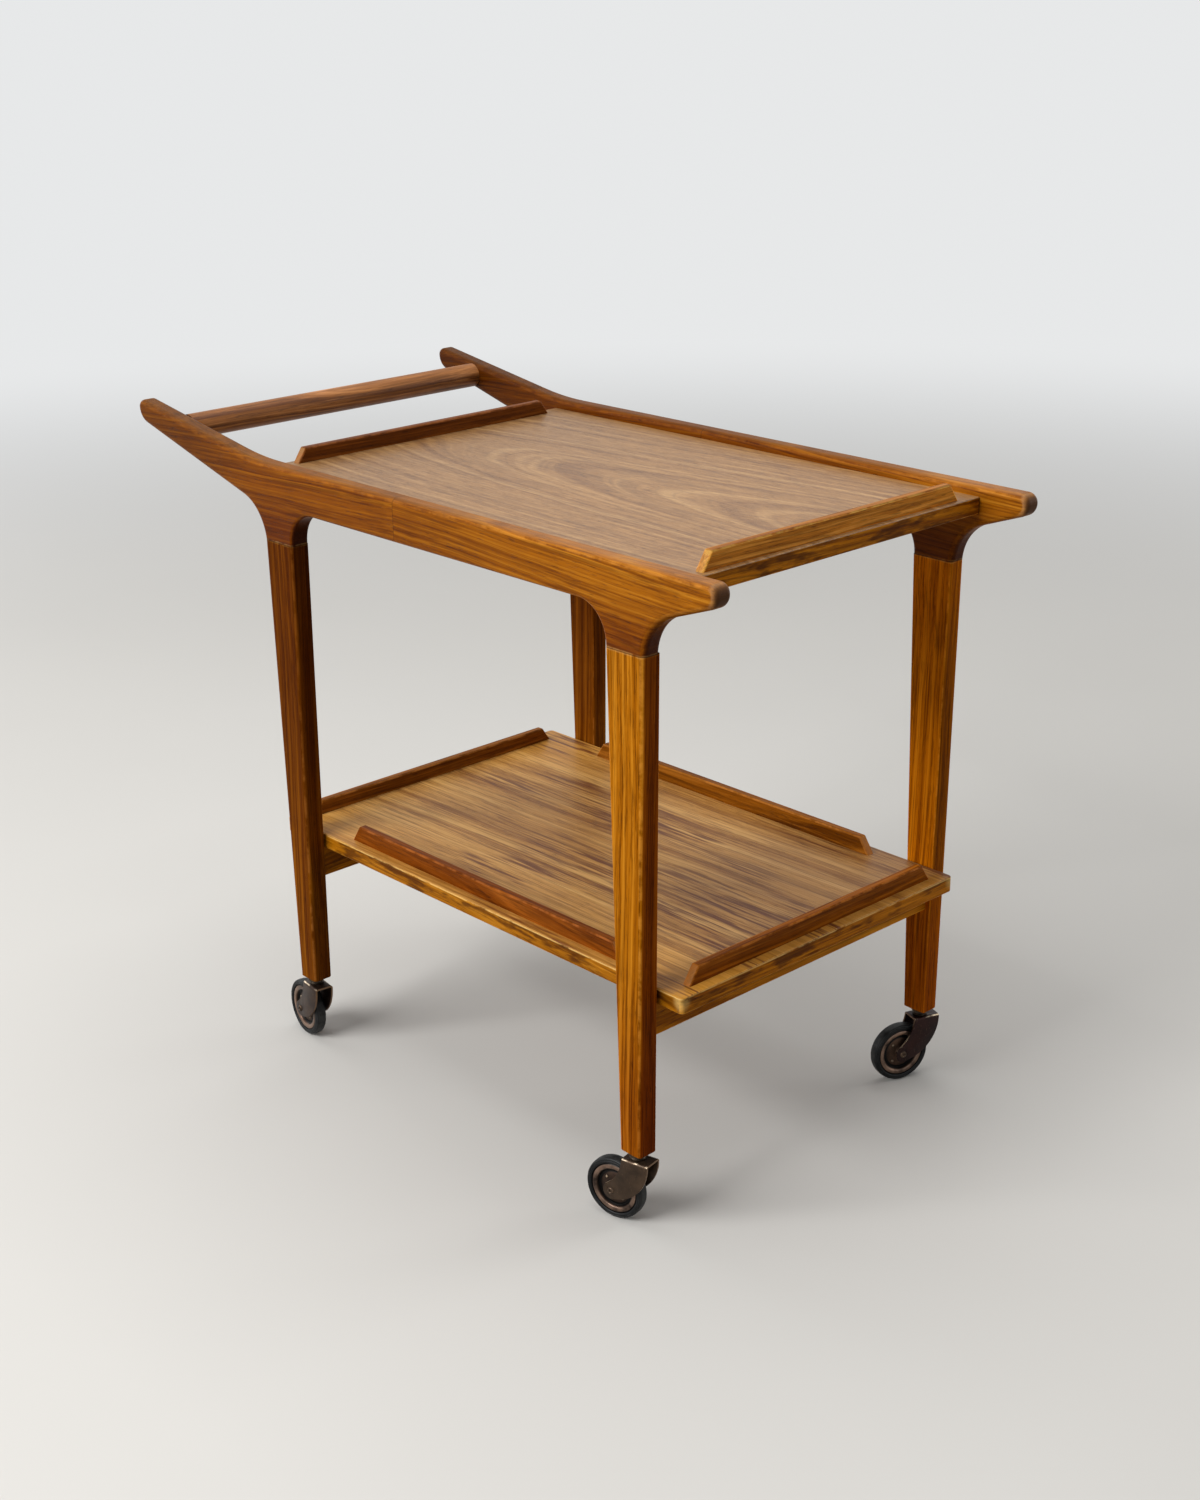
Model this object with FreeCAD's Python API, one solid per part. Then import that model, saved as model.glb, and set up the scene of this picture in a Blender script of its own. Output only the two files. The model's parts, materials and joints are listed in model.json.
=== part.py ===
import FreeCAD, Part
import math
import os

# A two-tier serving cart in solid and veneered hardwood, on four swivel casters.
# Millimetres. +Z is up and the floor is Z = 0. +X points from the handle to the nose.
# The origin is on the floor, at the middle of the overall length and width.

V = FreeCAD.Vector
UP = V(0, 0, 1)
SIDES = {"left": 1, "right": -1}

# Layout
WIDTH = 446.0                # over the outer faces of the side rails
LEG_SPAN = 522.0             # between rear and front leg centres
HORN_REACH = 255.0           # horn tip behind the rear leg centre
NOSE_REACH = 111.0           # nose tip ahead of the front leg centre
STOCK = 22.0                 # thickness of rails and legs
EDGE_RADIUS = 4.0            # rounding of the rails between the legs
TOP_EDGE_RADIUS = 6.5        # rounding of the rails' tops, horns and noses

# Legs
LEG_LENGTH = 505.0
LEG_TOP_WIDTH = 49.0
LEG_FOOT_WIDTH = 27.5
LEG_EDGE_RADIUS = 1.6
FOOT_CHAMFER = 1.2
DOWEL_RADIUS = 4.0
DOWEL_LENGTH = 44.0
LEG_DOWEL_PITCH = 24.0

# Side rails
RAIL_DEPTH = 44.5
GUSSET_DROP = 37.5           # rail underside down to the leg joint
GUSSET_RADIUS = 36.0
HORN_KNEE = 42.0             # where the top edge starts to rise, behind the rear leg centre
HORN_KNEE_RADIUS = 400.0
HORN_TOP_SLOPE = 9.2         # degrees
HORN_UNDER_SLOPE = 15.2      # degrees
HORN_ROOT_RISE = 31.0        # where the horn's lower line meets the leg face, above the joint
HORN_ROOT_RADIUS = 50.0
HORN_TIP_RADIUS = 9.0
HORN_CHIN_RADIUS = 22.0       # under the horn's tip
NOSE_UNDER_SLOPE = 19.8      # degrees
NOSE_ROOT_RISE = 31.0
NOSE_ROOT_RADIUS = 50.0
NOSE_TOP_RADIUS = 11.0
NOSE_UNDER_RADIUS = 14.0
ROOT_SPLAY = 4.5             # how far the leg seats lean out under the horn and the nose
SPLICE_AHEAD = 199.0         # splice in the rail, ahead of the rear leg centre
TONGUE_LENGTH = 60.0
TONGUE_THICKNESS = 8.0
TONGUE_MARGIN = 9.0          # from the tongue to the rail's top and bottom edges

# Handle bar
BAR_DIAMETER = 27.5
BAR_BEHIND = 189.0           # behind the rear leg centre
BAR_TENON_DIAMETER = 16.0
BAR_TENON_LENGTH = 14.0

# Boards of the tray and the shelf
BOARD_THICKNESS = 17.0
VENEER = 0.9
LIPPING = 6.0
BOARD_EASE = 1.5

# Upper tray
TRAY_RECESS = 10.0           # tray top below the rail top
TRAY_FRONT_REACH = 56.0      # tray edge ahead of the front leg centre
TRAY_REAR_REACH = 38.0       # tray edge behind the rear leg centre
TRAY_SIDE_GAP = 0.75
TRAY_DOWEL_LENGTH = 30.0
TRAY_DOWEL_SPREAD = 230.0    # from the middle of the tray to the outer dowels
TRAY_DOWEL_CLEAR = 32.0      # from the end of the splice tongue to the middle dowel
TRAY_STRIP_INSET = 6.0
TRAY_STRIP_END_GAP = 25.0    # strip end to the rail's inner face

# Lower shelf
SHELF_RISE = 174.0           # shelf top above the leg feet
SHELF_FRONT_REACH = 46.5
SHELF_REAR_REACH = 56.0
SHELF_SIDE_GAP = 3.0
SHELF_CORNER_RADIUS = 5.0
SHELF_STRIP_INSET = 12.5
SHELF_STRIP_END_GAP = 22.0   # end strip to the shelf's side edge
SIDE_STRIP_CLEAR = 48.5      # side strip end to the leg centre

# Gallery strips
FRONT_STRIP_HEIGHT = 18.0    # also the strips along the shelf's sides
REAR_STRIP_HEIGHT = 15.5
STRIP_THICKNESS = 10.0
STRIP_END_SLOPE = 56.0       # degrees, of the leaning ends
STRIP_ROUND = 2.2

# Cross rails under the shelf
CROSS_DEPTH = 35.0
CROSS_THICKNESS = 20.0
CROSS_EDGE = 2.0
TENON_LENGTH = 14.0
TENON_THICKNESS = 8.0
TENON_SHOULDER = 4.0
SCREW_SHANK_RADIUS = 2.0
SCREW_HEAD_RADIUS = 4.0
SCREW_BITE = 10.0            # into the shelf
SCREW_SPREAD = 130.0

# Casters
CASTER_HEIGHT = 80.0         # floor to the leg foot
WHEEL_RADIUS = 32.3
TYRE_WIDTH = 12.5
TYRE_ROUND = 2.6
RIM_RADIUS = 27.2
RIM_WIDTH = 11.2
RIM_DEPTH = 5.0
BOSS_RADIUS = 7.0
WEB_AT_RIM = 4.0             # web thickness
WEB_AT_BOSS = 9.0
AXLE_RADIUS = 2.5
RIVET_HEAD_RADIUS = 3.8
RIVET_HEAD_HEIGHT = 1.2
RUNNING_CLEARANCE = 0.05
THRUST_CLEARANCE = 0.3
TRAIL = 25.0
FORK_WIDTH = 21.5
FORK_SHEET = 2.0
FORK_FOLD = 3.0              # outer radius of the folded shoulders
FORK_TOP_AHEAD = 17.5        # top plate ahead of the stem
FORK_TOP_BEHIND = 12.0
FORK_LOBE_RADIUS = 9.0
FORK_LEADING_BULGE = 11.5
FORK_TRAILING_HOLLOW = 4.0
STEM_RADIUS = 4.0
STEM_LENGTH = 34.0           # inside the leg
COLLAR_RADIUS = 8.0          # race cup between the fork and the socket
COLLAR_HEIGHT = 5.0
STEM_HEAD_RADIUS = 6.5
STEM_HEAD_HEIGHT = 1.5
SOCKET_WALL = 1.5
SOCKET_FLANGE_RADIUS = 9.5
SOCKET_FLANGE = 2.2
# Where each wheel trails, in degrees from +X
TRAIL_ANGLES = {
    ("front", "left"): 250.0,
    ("front", "right"): 192.0,
    ("rear", "left"): 188.0,
    ("rear", "right"): 172.0,
}

# Places that follow from the sizes above
LENGTH = HORN_REACH + LEG_SPAN + NOSE_REACH
REAR_X = HORN_REACH - LENGTH / 2
FRONT_X = REAR_X + LEG_SPAN
LEG_X = {"front": FRONT_X, "rear": REAR_X}
OUTER_Y = WIDTH / 2
INNER_Y = OUTER_Y - STOCK
LEG_Y = OUTER_Y - STOCK / 2
FOOT_Z = CASTER_HEIGHT
JOINT_Z = FOOT_Z + LEG_LENGTH
RAIL_BOTTOM = JOINT_Z + GUSSET_DROP
RAIL_TOP = RAIL_BOTTOM + RAIL_DEPTH
TRAY_TOP = RAIL_TOP - TRAY_RECESS
SHELF_TOP = FOOT_Z + SHELF_RISE
SHELF_BOTTOM = SHELF_TOP - BOARD_THICKNESS
SPLICE_X = REAR_X + SPLICE_AHEAD
HALF_TOP = LEG_TOP_WIDTH / 2
HALF_FOOT = LEG_FOOT_WIDTH / 2
FORK_TOP = CASTER_HEIGHT - SOCKET_FLANGE - THRUST_CLEARANCE - COLLAR_HEIGHT


def save(name, shape):
    shape.exportStep(f"parts/{name}.step")


def block(x0, x1, y0, y1, z0, z1):
    return Part.makeBox(x1 - x0, y1 - y0, z1 - z0, V(x0, y0, z0))


def cylinder(radius, length, base, direction):
    return Part.makeCylinder(radius, length, base, direction)


def group(solids):
    return Part.makeCompound(solids)


def mirrored(shape):
    return shape.mirror(V(0, 0, 0), V(0, 1, 0))


def on_side(right_hand, side):
    return right_hand if side == "right" else mirrored(right_hand)


def edges_where(shape, test):
    return [e for e in shape.Edges if test(e)]


def lies_at(edge, axis, value):
    return all(abs(getattr(v.Point, axis) - value) < 1e-4 for v in edge.Vertexes)


def spans(edge, axis):
    first, last = edge.Vertexes[0].Point, edge.Vertexes[-1].Point
    return abs(getattr(first, axis) - getattr(last, axis)) > 1


def is_circle(edge, radius):
    return hasattr(edge.Curve, "Radius") and abs(edge.Curve.Radius - radius) < 1e-4


def rounded_outline(corners):
    """A flat face in the XZ plane from (x, z, radius) corners, each rounded by a tangent arc."""
    points = [V(x, 0, z) for x, z, _ in corners]
    count = len(points)
    ways = [(points[(i + 1) % count] - points[i]).normalize() for i in range(count)]
    runs = [(points[(i + 1) % count] - points[i]).Length for i in range(count)]
    turns = [ways[i - 1].getAngle(ways[i]) for i in range(count)]
    setbacks = [r * math.tan(turn / 2) for (_, _, r), turn in zip(corners, turns)]
    for i in range(count):
        need = setbacks[i] + setbacks[(i + 1) % count]
        if need > runs[i]:
            share = 0.99 * runs[i] / need
            setbacks[i] *= share
            setbacks[(i + 1) % count] *= share
    edges = []
    for i in range(count):
        after = (i + 1) % count
        start = points[i] + ways[i] * setbacks[i]
        end = points[after] - ways[i] * setbacks[after]
        edges.append(Part.LineSegment(start, end).toShape())
        if setbacks[after] > 0:
            half = turns[after] / 2
            radius = setbacks[after] / math.tan(half)
            inward = (ways[after] - ways[i]).normalize()
            middle = points[after] + inward * (radius / math.cos(half) - radius)
            leave = points[after] + ways[after] * setbacks[after]
            edges.append(Part.Arc(end, middle, leave).toShape())
    return Part.Face(Part.Wire(edges))


def bulged(start, end, bulge):
    """An arc from start to end in the XZ plane, standing off its chord to the left by bulge."""
    chord = end - start
    left = V(-chord.z, 0, chord.x).normalize()
    return Part.Arc(start, (start + end) * 0.5 + left * bulge, end).toShape()


def turned(profile, axis_point):
    """A solid of revolution about the Y direction, from (radius, y) corners."""
    points = [V(0, y, r) for r, y in profile]
    solid = Part.Face(Part.makePolygon(points + points[:1])).revolve(V(0, 0, 0), V(0, 1, 0), 360)
    solid.translate(axis_point)
    return solid


# Heights of the horn's and the nose's sloping lines at a place along X
def slope(degrees):
    return math.tan(math.radians(degrees))


def horn_top(x):
    return RAIL_TOP + (REAR_X - HORN_KNEE - x) * slope(HORN_TOP_SLOPE)


def horn_under(x):
    return JOINT_Z + HORN_ROOT_RISE + (REAR_X - HALF_TOP - x) * slope(HORN_UNDER_SLOPE)


def nose_under(x):
    return JOINT_Z + NOSE_ROOT_RISE + (x - FRONT_X - HALF_TOP) * slope(NOSE_UNDER_SLOPE)


BAR_X = REAR_X - BAR_BEHIND
BAR_Z = (horn_top(BAR_X) + horn_under(BAR_X)) / 2
TONGUE_BOTTOM = RAIL_BOTTOM + TONGUE_MARGIN
TONGUE_TOP = RAIL_TOP - TONGUE_MARGIN
TRAY_FRONT = FRONT_X + TRAY_FRONT_REACH
TRAY_REAR = REAR_X - TRAY_REAR_REACH
TRAY_SIDE = INNER_Y - TRAY_SIDE_GAP
TRAY_MIDDLE = (FRONT_X + REAR_X) / 2
TRAY_DOWEL_Z = TRAY_TOP - BOARD_THICKNESS / 2
TRAY_DOWEL_X = (
    TRAY_MIDDLE - TRAY_DOWEL_SPREAD,
    SPLICE_X + TONGUE_LENGTH / 2 + TRAY_DOWEL_CLEAR,
    TRAY_MIDDLE + TRAY_DOWEL_SPREAD,
)
SHELF_FRONT = FRONT_X + SHELF_FRONT_REACH
SHELF_REAR = REAR_X - SHELF_REAR_REACH
SHELF_SIDE = INNER_Y - SHELF_SIDE_GAP


# Dowels between each leg and its rail, centred on the joint
def leg_dowel(end, side, step):
    at = V(LEG_X[end] + step * LEG_DOWEL_PITCH / 2, SIDES[side] * LEG_Y, JOINT_Z - DOWEL_LENGTH / 2)
    return cylinder(DOWEL_RADIUS, DOWEL_LENGTH, at, UP)


def leg_dowels(sides):
    return [leg_dowel(end, side, step) for side in sides for end in LEG_X for step in (-1, 1)]


# Dowels that carry the tray between the rails
def tray_dowels(sides):
    pegs = []
    for side in sides:
        for x in TRAY_DOWEL_X:
            y = SIDES[side] * (INNER_Y - TRAY_SIDE_GAP / 2) - TRAY_DOWEL_LENGTH / 2
            pegs.append(cylinder(DOWEL_RADIUS, TRAY_DOWEL_LENGTH, V(x, y, TRAY_DOWEL_Z), V(0, 1, 0)))
    return pegs


# Loose tongue inside the rail splice
def splice_tongue(side):
    y = SIDES[side] * LEG_Y
    return block(
        SPLICE_X - TONGUE_LENGTH / 2, SPLICE_X + TONGUE_LENGTH / 2,
        y - TONGUE_THICKNESS / 2, y + TONGUE_THICKNESS / 2,
        TONGUE_BOTTOM, TONGUE_TOP,
    )


# Handle bar, a round rod with a turned tenon at each end
def handle_bar():
    across = V(0, 1, 0)
    rod = cylinder(BAR_DIAMETER / 2, 2 * INNER_Y, V(BAR_X, -INNER_Y, BAR_Z), across)
    reach = INNER_Y + BAR_TENON_LENGTH
    tenons = cylinder(BAR_TENON_DIAMETER / 2, 2 * reach, V(BAR_X, -reach, BAR_Z), across)
    return rod.fuse(tenons).removeSplitter()


# Side rail with its horn, its nose and the flared seats of both legs
def rail_blank():
    tip_x = REAR_X - HORN_REACH
    nose_x = FRONT_X + NOSE_REACH
    rear_back, rear_front = REAR_X - HALF_TOP, REAR_X + HALF_TOP
    front_back, front_front = FRONT_X - HALF_TOP, FRONT_X + HALF_TOP
    horn_root = rear_back - ROOT_SPLAY
    nose_root = front_front + ROOT_SPLAY
    outline = rounded_outline([
        (nose_x, RAIL_TOP, NOSE_TOP_RADIUS),
        (REAR_X - HORN_KNEE, RAIL_TOP, HORN_KNEE_RADIUS),
        (tip_x, horn_top(tip_x), HORN_TIP_RADIUS),
        (tip_x, horn_under(tip_x), HORN_CHIN_RADIUS),
        (horn_root, horn_under(horn_root), HORN_ROOT_RADIUS),
        (rear_back, JOINT_Z, 0),
        (rear_front, JOINT_Z, 0),
        (rear_front, RAIL_BOTTOM, GUSSET_RADIUS),
        (front_back, RAIL_BOTTOM, GUSSET_RADIUS),
        (front_back, JOINT_Z, 0),
        (front_front, JOINT_Z, 0),
        (nose_root, nose_under(nose_root), NOSE_ROOT_RADIUS),
        (nose_x, nose_under(nose_x), NOSE_UNDER_RADIUS),
    ])
    blank = outline.extrude(V(0, STOCK, 0))
    blank.translate(V(0, -OUTER_Y, 0))

    def is_rim(edge):
        on_face = lies_at(edge, "y", -OUTER_Y) or lies_at(edge, "y", -INNER_Y)
        return on_face and not lies_at(edge, "z", JOINT_Z)

    def between_legs(edge):
        box = edge.BoundBox
        inside = box.XMin > rear_front - EDGE_RADIUS and box.XMax < front_back + EDGE_RADIUS
        return inside and box.ZMax < RAIL_TOP

    inner_rims = edges_where(blank, lambda e: is_rim(e) and between_legs(e))
    blank = blank.makeFillet(EDGE_RADIUS, inner_rims)

    def beyond_legs(edge):
        box = edge.BoundBox
        outside = box.XMin < rear_back + EDGE_RADIUS or box.XMax > front_front - EDGE_RADIUS
        return outside or box.ZMin >= RAIL_TOP

    outer_rims = edges_where(blank, lambda e: is_rim(e) and beyond_legs(e))
    return blank.makeFillet(TOP_EDGE_RADIUS, outer_rims)


def side_rail_pieces():
    rail = rail_blank()
    for pocket in leg_dowels(["right"]) + tray_dowels(["right"]) + [splice_tongue("right"), handle_bar()]:
        rail = rail.cut(pocket)
    far = LENGTH
    rear = rail.common(block(-far, SPLICE_X, -far, far, 0, far))
    front = rail.common(block(SPLICE_X, far, -far, far, 0, far))
    return {"rear": rear, "front": front}


# Tenoned cross rail that joins a pair of legs and carries the shelf
def cross_rail(end):
    x = LEG_X[end]
    low = SHELF_BOTTOM - CROSS_DEPTH
    bar = block(x - CROSS_THICKNESS / 2, x + CROSS_THICKNESS / 2, -INNER_Y, INNER_Y, low, SHELF_BOTTOM)
    under = edges_where(bar, lambda e: lies_at(e, "z", low) and spans(e, "y"))
    bar = bar.makeFillet(CROSS_EDGE, under)
    reach = INNER_Y + TENON_LENGTH
    tenon = block(
        x - TENON_THICKNESS / 2, x + TENON_THICKNESS / 2, -reach, reach,
        low + TENON_SHOULDER, SHELF_BOTTOM - TENON_SHOULDER,
    )
    return bar.fuse(tenon).removeSplitter()


def caster_place(end, side, shape):
    """Turns a caster piece from its own frame, leading edge along +X, to its place under a leg."""
    placed = shape.copy()
    placed.rotate(V(0, 0, 0), UP, TRAIL_ANGLES[(end, side)] - 180)
    placed.translate(V(LEG_X[end], SIDES[side] * LEG_Y, 0))
    return placed


# Brass-plated socket pressed into the leg foot, with a flange under it
def caster_socket():
    base = V(0, 0, FOOT_Z - SOCKET_FLANGE)
    sleeve = cylinder(STEM_RADIUS + SOCKET_WALL, STEM_LENGTH + SOCKET_FLANGE, base, UP)
    flange = cylinder(SOCKET_FLANGE_RADIUS, SOCKET_FLANGE, base, UP)
    bore = cylinder(STEM_RADIUS + RUNNING_CLEARANCE, 2 * CASTER_HEIGHT, V(0, 0, 0), UP)
    return sleeve.fuse(flange).removeSplitter().cut(bore)


# Steel stem with its race collar, riveted through the fork's top plate
def caster_stem():
    under_plate = FORK_TOP - FORK_SHEET
    stem_top = FOOT_Z + STEM_LENGTH - THRUST_CLEARANCE
    shaft = cylinder(STEM_RADIUS, stem_top - under_plate, V(0, 0, under_plate), UP)
    head = cylinder(STEM_HEAD_RADIUS, STEM_HEAD_HEIGHT, V(0, 0, under_plate - STEM_HEAD_HEIGHT), UP)
    collar = cylinder(COLLAR_RADIUS, COLLAR_HEIGHT, V(0, 0, FORK_TOP), UP)
    return shaft.fuse([head, collar]).removeSplitter()


# Riveted axle between the fork cheeks
def caster_axle():
    half = FORK_WIDTH / 2
    head = half + RIVET_HEAD_HEIGHT
    profile = [
        (0, -head), (RIVET_HEAD_RADIUS * 0.6, -head), (RIVET_HEAD_RADIUS, -half), (AXLE_RADIUS, -half),
        (AXLE_RADIUS, half), (RIVET_HEAD_RADIUS, half), (RIVET_HEAD_RADIUS * 0.6, head), (0, head),
    ]
    return turned(profile, V(-TRAIL, 0, WHEEL_RADIUS))


# Pressed steel fork: two swept cheeks under a folded top plate
def caster_fork():
    axle = V(-TRAIL, 0, WHEEL_RADIUS)
    top_back, top_lead = V(-FORK_TOP_BEHIND, 0, FORK_TOP), V(FORK_TOP_AHEAD, 0, FORK_TOP)
    lean = math.radians(60)
    lobe_low = axle + V(math.cos(lean), 0, -math.sin(lean)) * FORK_LOBE_RADIUS
    lobe_back = axle + V(-1, 0, 0) * FORK_LOBE_RADIUS
    lobe_high = axle + V(-math.cos(lean), 0, math.sin(lean)) * FORK_LOBE_RADIUS
    outline = Part.Face(Part.Wire([
        Part.LineSegment(top_back, top_lead).toShape(),
        bulged(top_lead, lobe_low, FORK_LEADING_BULGE),
        Part.Arc(lobe_low, lobe_back, lobe_high).toShape(),
        bulged(lobe_high, top_back, -FORK_TRAILING_HOLLOW),
    ]))
    body = outline.extrude(V(0, FORK_WIDTH, 0))
    body.translate(V(0, -FORK_WIDTH / 2, 0))
    shoulders = edges_where(body, lambda e: lies_at(e, "z", FORK_TOP) and spans(e, "x"))
    body = body.makeFillet(FORK_FOLD, shoulders)
    inside = FORK_WIDTH / 2 - FORK_SHEET
    gap = block(-CASTER_HEIGHT, CASTER_HEIGHT, -inside, inside, 0, FORK_TOP - FORK_SHEET)
    ceiling = edges_where(gap, lambda e: lies_at(e, "z", FORK_TOP - FORK_SHEET) and spans(e, "x"))
    gap = gap.makeFillet(FORK_FOLD - FORK_SHEET, ceiling)
    return body.cut(gap).cut(caster_axle()).cut(caster_stem())


# Wheel centre: boss, dished web and a beaded rim, turned as one
def wheel_centre():
    boss = FORK_WIDTH / 2 - FORK_SHEET - THRUST_CLEARANCE
    bore = AXLE_RADIUS + RUNNING_CLEARANCE
    inner_rim = RIM_RADIUS - RIM_DEPTH
    half_rim = RIM_WIDTH / 2
    profile = [
        (bore, -boss), (BOSS_RADIUS, -boss), (BOSS_RADIUS, -WEB_AT_BOSS / 2), (inner_rim, -WEB_AT_RIM / 2),
        (inner_rim, -half_rim), (RIM_RADIUS, -half_rim), (RIM_RADIUS, half_rim), (inner_rim, half_rim),
        (inner_rim, WEB_AT_RIM / 2), (BOSS_RADIUS, WEB_AT_BOSS / 2), (BOSS_RADIUS, boss), (bore, boss),
    ]
    return turned(profile, V(-TRAIL, 0, WHEEL_RADIUS))


# Solid rubber tyre on the rim
def wheel_tyre():
    half = TYRE_WIDTH / 2
    ring = turned(
        [(RIM_RADIUS, -half), (WHEEL_RADIUS, -half), (WHEEL_RADIUS, half), (RIM_RADIUS, half)],
        V(-TRAIL, 0, WHEEL_RADIUS),
    )
    tread = edges_where(ring, lambda e: is_circle(e, WHEEL_RADIUS))
    return ring.makeFillet(TYRE_ROUND, tread)


# Tapered leg, holed for its dowels, its cross rail and its caster
def leg(end, side):
    x, y = LEG_X[end], SIDES[side] * LEG_Y
    corners = [
        V(x - HALF_TOP, 0, JOINT_Z), V(x + HALF_TOP, 0, JOINT_Z),
        V(x + HALF_FOOT, 0, FOOT_Z), V(x - HALF_FOOT, 0, FOOT_Z),
    ]
    post = Part.Face(Part.makePolygon(corners + corners[:1])).extrude(V(0, STOCK, 0))
    post.translate(V(0, y - STOCK / 2, 0))
    long_edges = edges_where(post, lambda e: spans(e, "z"))
    post = post.makeFillet(LEG_EDGE_RADIUS, long_edges)
    foot_rim = edges_where(post, lambda e: lies_at(e, "z", FOOT_Z))
    post = post.makeChamfer(FOOT_CHAMFER, foot_rim)
    socket_hole = cylinder(STEM_RADIUS + SOCKET_WALL, STEM_LENGTH, V(x, y, FOOT_Z), UP)
    for pocket in leg_dowels([side]) + [cross_rail(end), socket_hole]:
        post = post.cut(pocket)
    return post


# Gallery strip lying along X or Y, its ends leaning in, standing on the board's core
def strip(length, height, along, centre_x, centre_y, board_top):
    low, high = board_top - VENEER, board_top + height
    half = length / 2
    lean = (high - low) / slope(STRIP_END_SLOPE)
    corners = [V(-half, 0, low), V(half, 0, low), V(half - lean, 0, high), V(lean - half, 0, high)]
    bar = Part.Face(Part.makePolygon(corners + corners[:1])).extrude(V(0, STRIP_THICKNESS, 0))
    bar.translate(V(0, -STRIP_THICKNESS / 2, 0))
    soft = edges_where(bar, lambda e: not lies_at(e, "z", low))
    bar = bar.makeFillet(STRIP_ROUND, soft)
    if along == "y":
        bar.rotate(V(0, 0, 0), UP, 90)
    bar.translate(V(centre_x, centre_y, 0))
    return bar


def shelf_screws(ends):
    screws = []
    for end in ends:
        low = SHELF_BOTTOM - CROSS_DEPTH
        for step in (-1, 0, 1):
            at = V(LEG_X[end], step * SCREW_SPREAD, low)
            sink = SCREW_HEAD_RADIUS - SCREW_SHANK_RADIUS
            head = Part.makeCone(SCREW_HEAD_RADIUS, SCREW_SHANK_RADIUS, sink, at, UP)
            shank = cylinder(SCREW_SHANK_RADIUS, CROSS_DEPTH + SCREW_BITE, at, UP)
            screws.append(head.fuse(shank).removeSplitter())
    return screws


def veneered_board(whole, top, core_x, core_y, pockets):
    """Cuts a whole board into its top veneer, its core and the lipping round the core."""
    far = LENGTH
    ground = whole.common(block(-far, far, -far, far, 0, top - VENEER))
    core_block = block(core_x[0], core_x[1], core_y[0], core_y[1], 0, far)
    veneer = whole.common(block(-far, far, -far, far, top - VENEER, far))
    core = ground.common(core_block)
    lipping = ground.cut(core_block)
    for pocket in pockets:
        veneer = veneer.cut(pocket)
        core = core.cut(pocket)
    return veneer, core, lipping


# Upper tray, between the rails
def build_tray():
    whole = block(TRAY_REAR, TRAY_FRONT, -TRAY_SIDE, TRAY_SIDE, TRAY_TOP - BOARD_THICKNESS, TRAY_TOP)
    ends = edges_where(whole, lambda e: spans(e, "y"))
    whole = whole.makeFillet(BOARD_EASE, ends)
    length = 2 * (INNER_Y - TRAY_STRIP_END_GAP)
    inset = TRAY_STRIP_INSET + STRIP_THICKNESS / 2
    strips = {
        "front": strip(length, FRONT_STRIP_HEIGHT, "y", TRAY_FRONT - inset, 0, TRAY_TOP),
        "rear": strip(length, REAR_STRIP_HEIGHT, "y", TRAY_REAR + inset, 0, TRAY_TOP),
    }
    pockets = list(strips.values()) + tray_dowels(SIDES)
    core_x = (TRAY_REAR + LIPPING, TRAY_FRONT - LIPPING)
    veneer, core, lipping = veneered_board(whole, TRAY_TOP, core_x, (-TRAY_SIDE, TRAY_SIDE), pockets)
    save("tray_veneer", veneer)
    save("tray_core", core)
    save("tray_lipping_front", lipping.common(block(0, LENGTH, -WIDTH, WIDTH, 0, LENGTH)))
    save("tray_lipping_rear", lipping.common(block(-LENGTH, 0, -WIDTH, WIDTH, 0, LENGTH)))
    for end, bar in strips.items():
        save(f"tray_strip_{end}", bar)


# Lower shelf, between the legs on the cross rails
def build_shelf():
    whole = block(SHELF_REAR, SHELF_FRONT, -SHELF_SIDE, SHELF_SIDE, SHELF_BOTTOM, SHELF_TOP)
    posts = edges_where(whole, lambda e: spans(e, "z"))
    whole = whole.makeFillet(SHELF_CORNER_RADIUS, posts)
    rims = edges_where(whole, lambda e: lies_at(e, "z", SHELF_TOP) or lies_at(e, "z", SHELF_BOTTOM))
    whole = whole.makeFillet(BOARD_EASE, rims)
    inset = SHELF_STRIP_INSET + STRIP_THICKNESS / 2
    end_length = 2 * (SHELF_SIDE - SHELF_STRIP_END_GAP)
    side_length = LEG_SPAN - 2 * SIDE_STRIP_CLEAR
    strips = {
        "front": strip(end_length, FRONT_STRIP_HEIGHT, "y", SHELF_FRONT - inset, 0, SHELF_TOP),
        "rear": strip(end_length, REAR_STRIP_HEIGHT, "y", SHELF_REAR + inset, 0, SHELF_TOP),
        "left": strip(side_length, FRONT_STRIP_HEIGHT, "x", TRAY_MIDDLE, SHELF_SIDE - inset, SHELF_TOP),
        "right": strip(side_length, FRONT_STRIP_HEIGHT, "x", TRAY_MIDDLE, inset - SHELF_SIDE, SHELF_TOP),
    }
    core_x = (SHELF_REAR + LIPPING, SHELF_FRONT - LIPPING)
    core_y = (LIPPING - SHELF_SIDE, SHELF_SIDE - LIPPING)
    pockets = list(strips.values()) + shelf_screws(LEG_X)
    veneer, core, lipping = veneered_board(whole, SHELF_TOP, core_x, core_y, pockets)
    save("shelf_veneer", veneer)
    save("shelf_core", core)
    far = LENGTH
    save("shelf_lipping_front", lipping.common(block(core_x[1], far, -far, far, 0, far)))
    save("shelf_lipping_rear", lipping.common(block(-far, core_x[0], -far, far, 0, far)))
    between = lipping.common(block(core_x[0], core_x[1], -far, far, 0, far))
    save("shelf_lipping_left", between.common(block(-far, far, 0, far, 0, far)))
    save("shelf_lipping_right", between.common(block(-far, far, -far, 0, 0, far)))
    for place, bar in strips.items():
        save(f"shelf_strip_{place}", bar)


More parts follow.
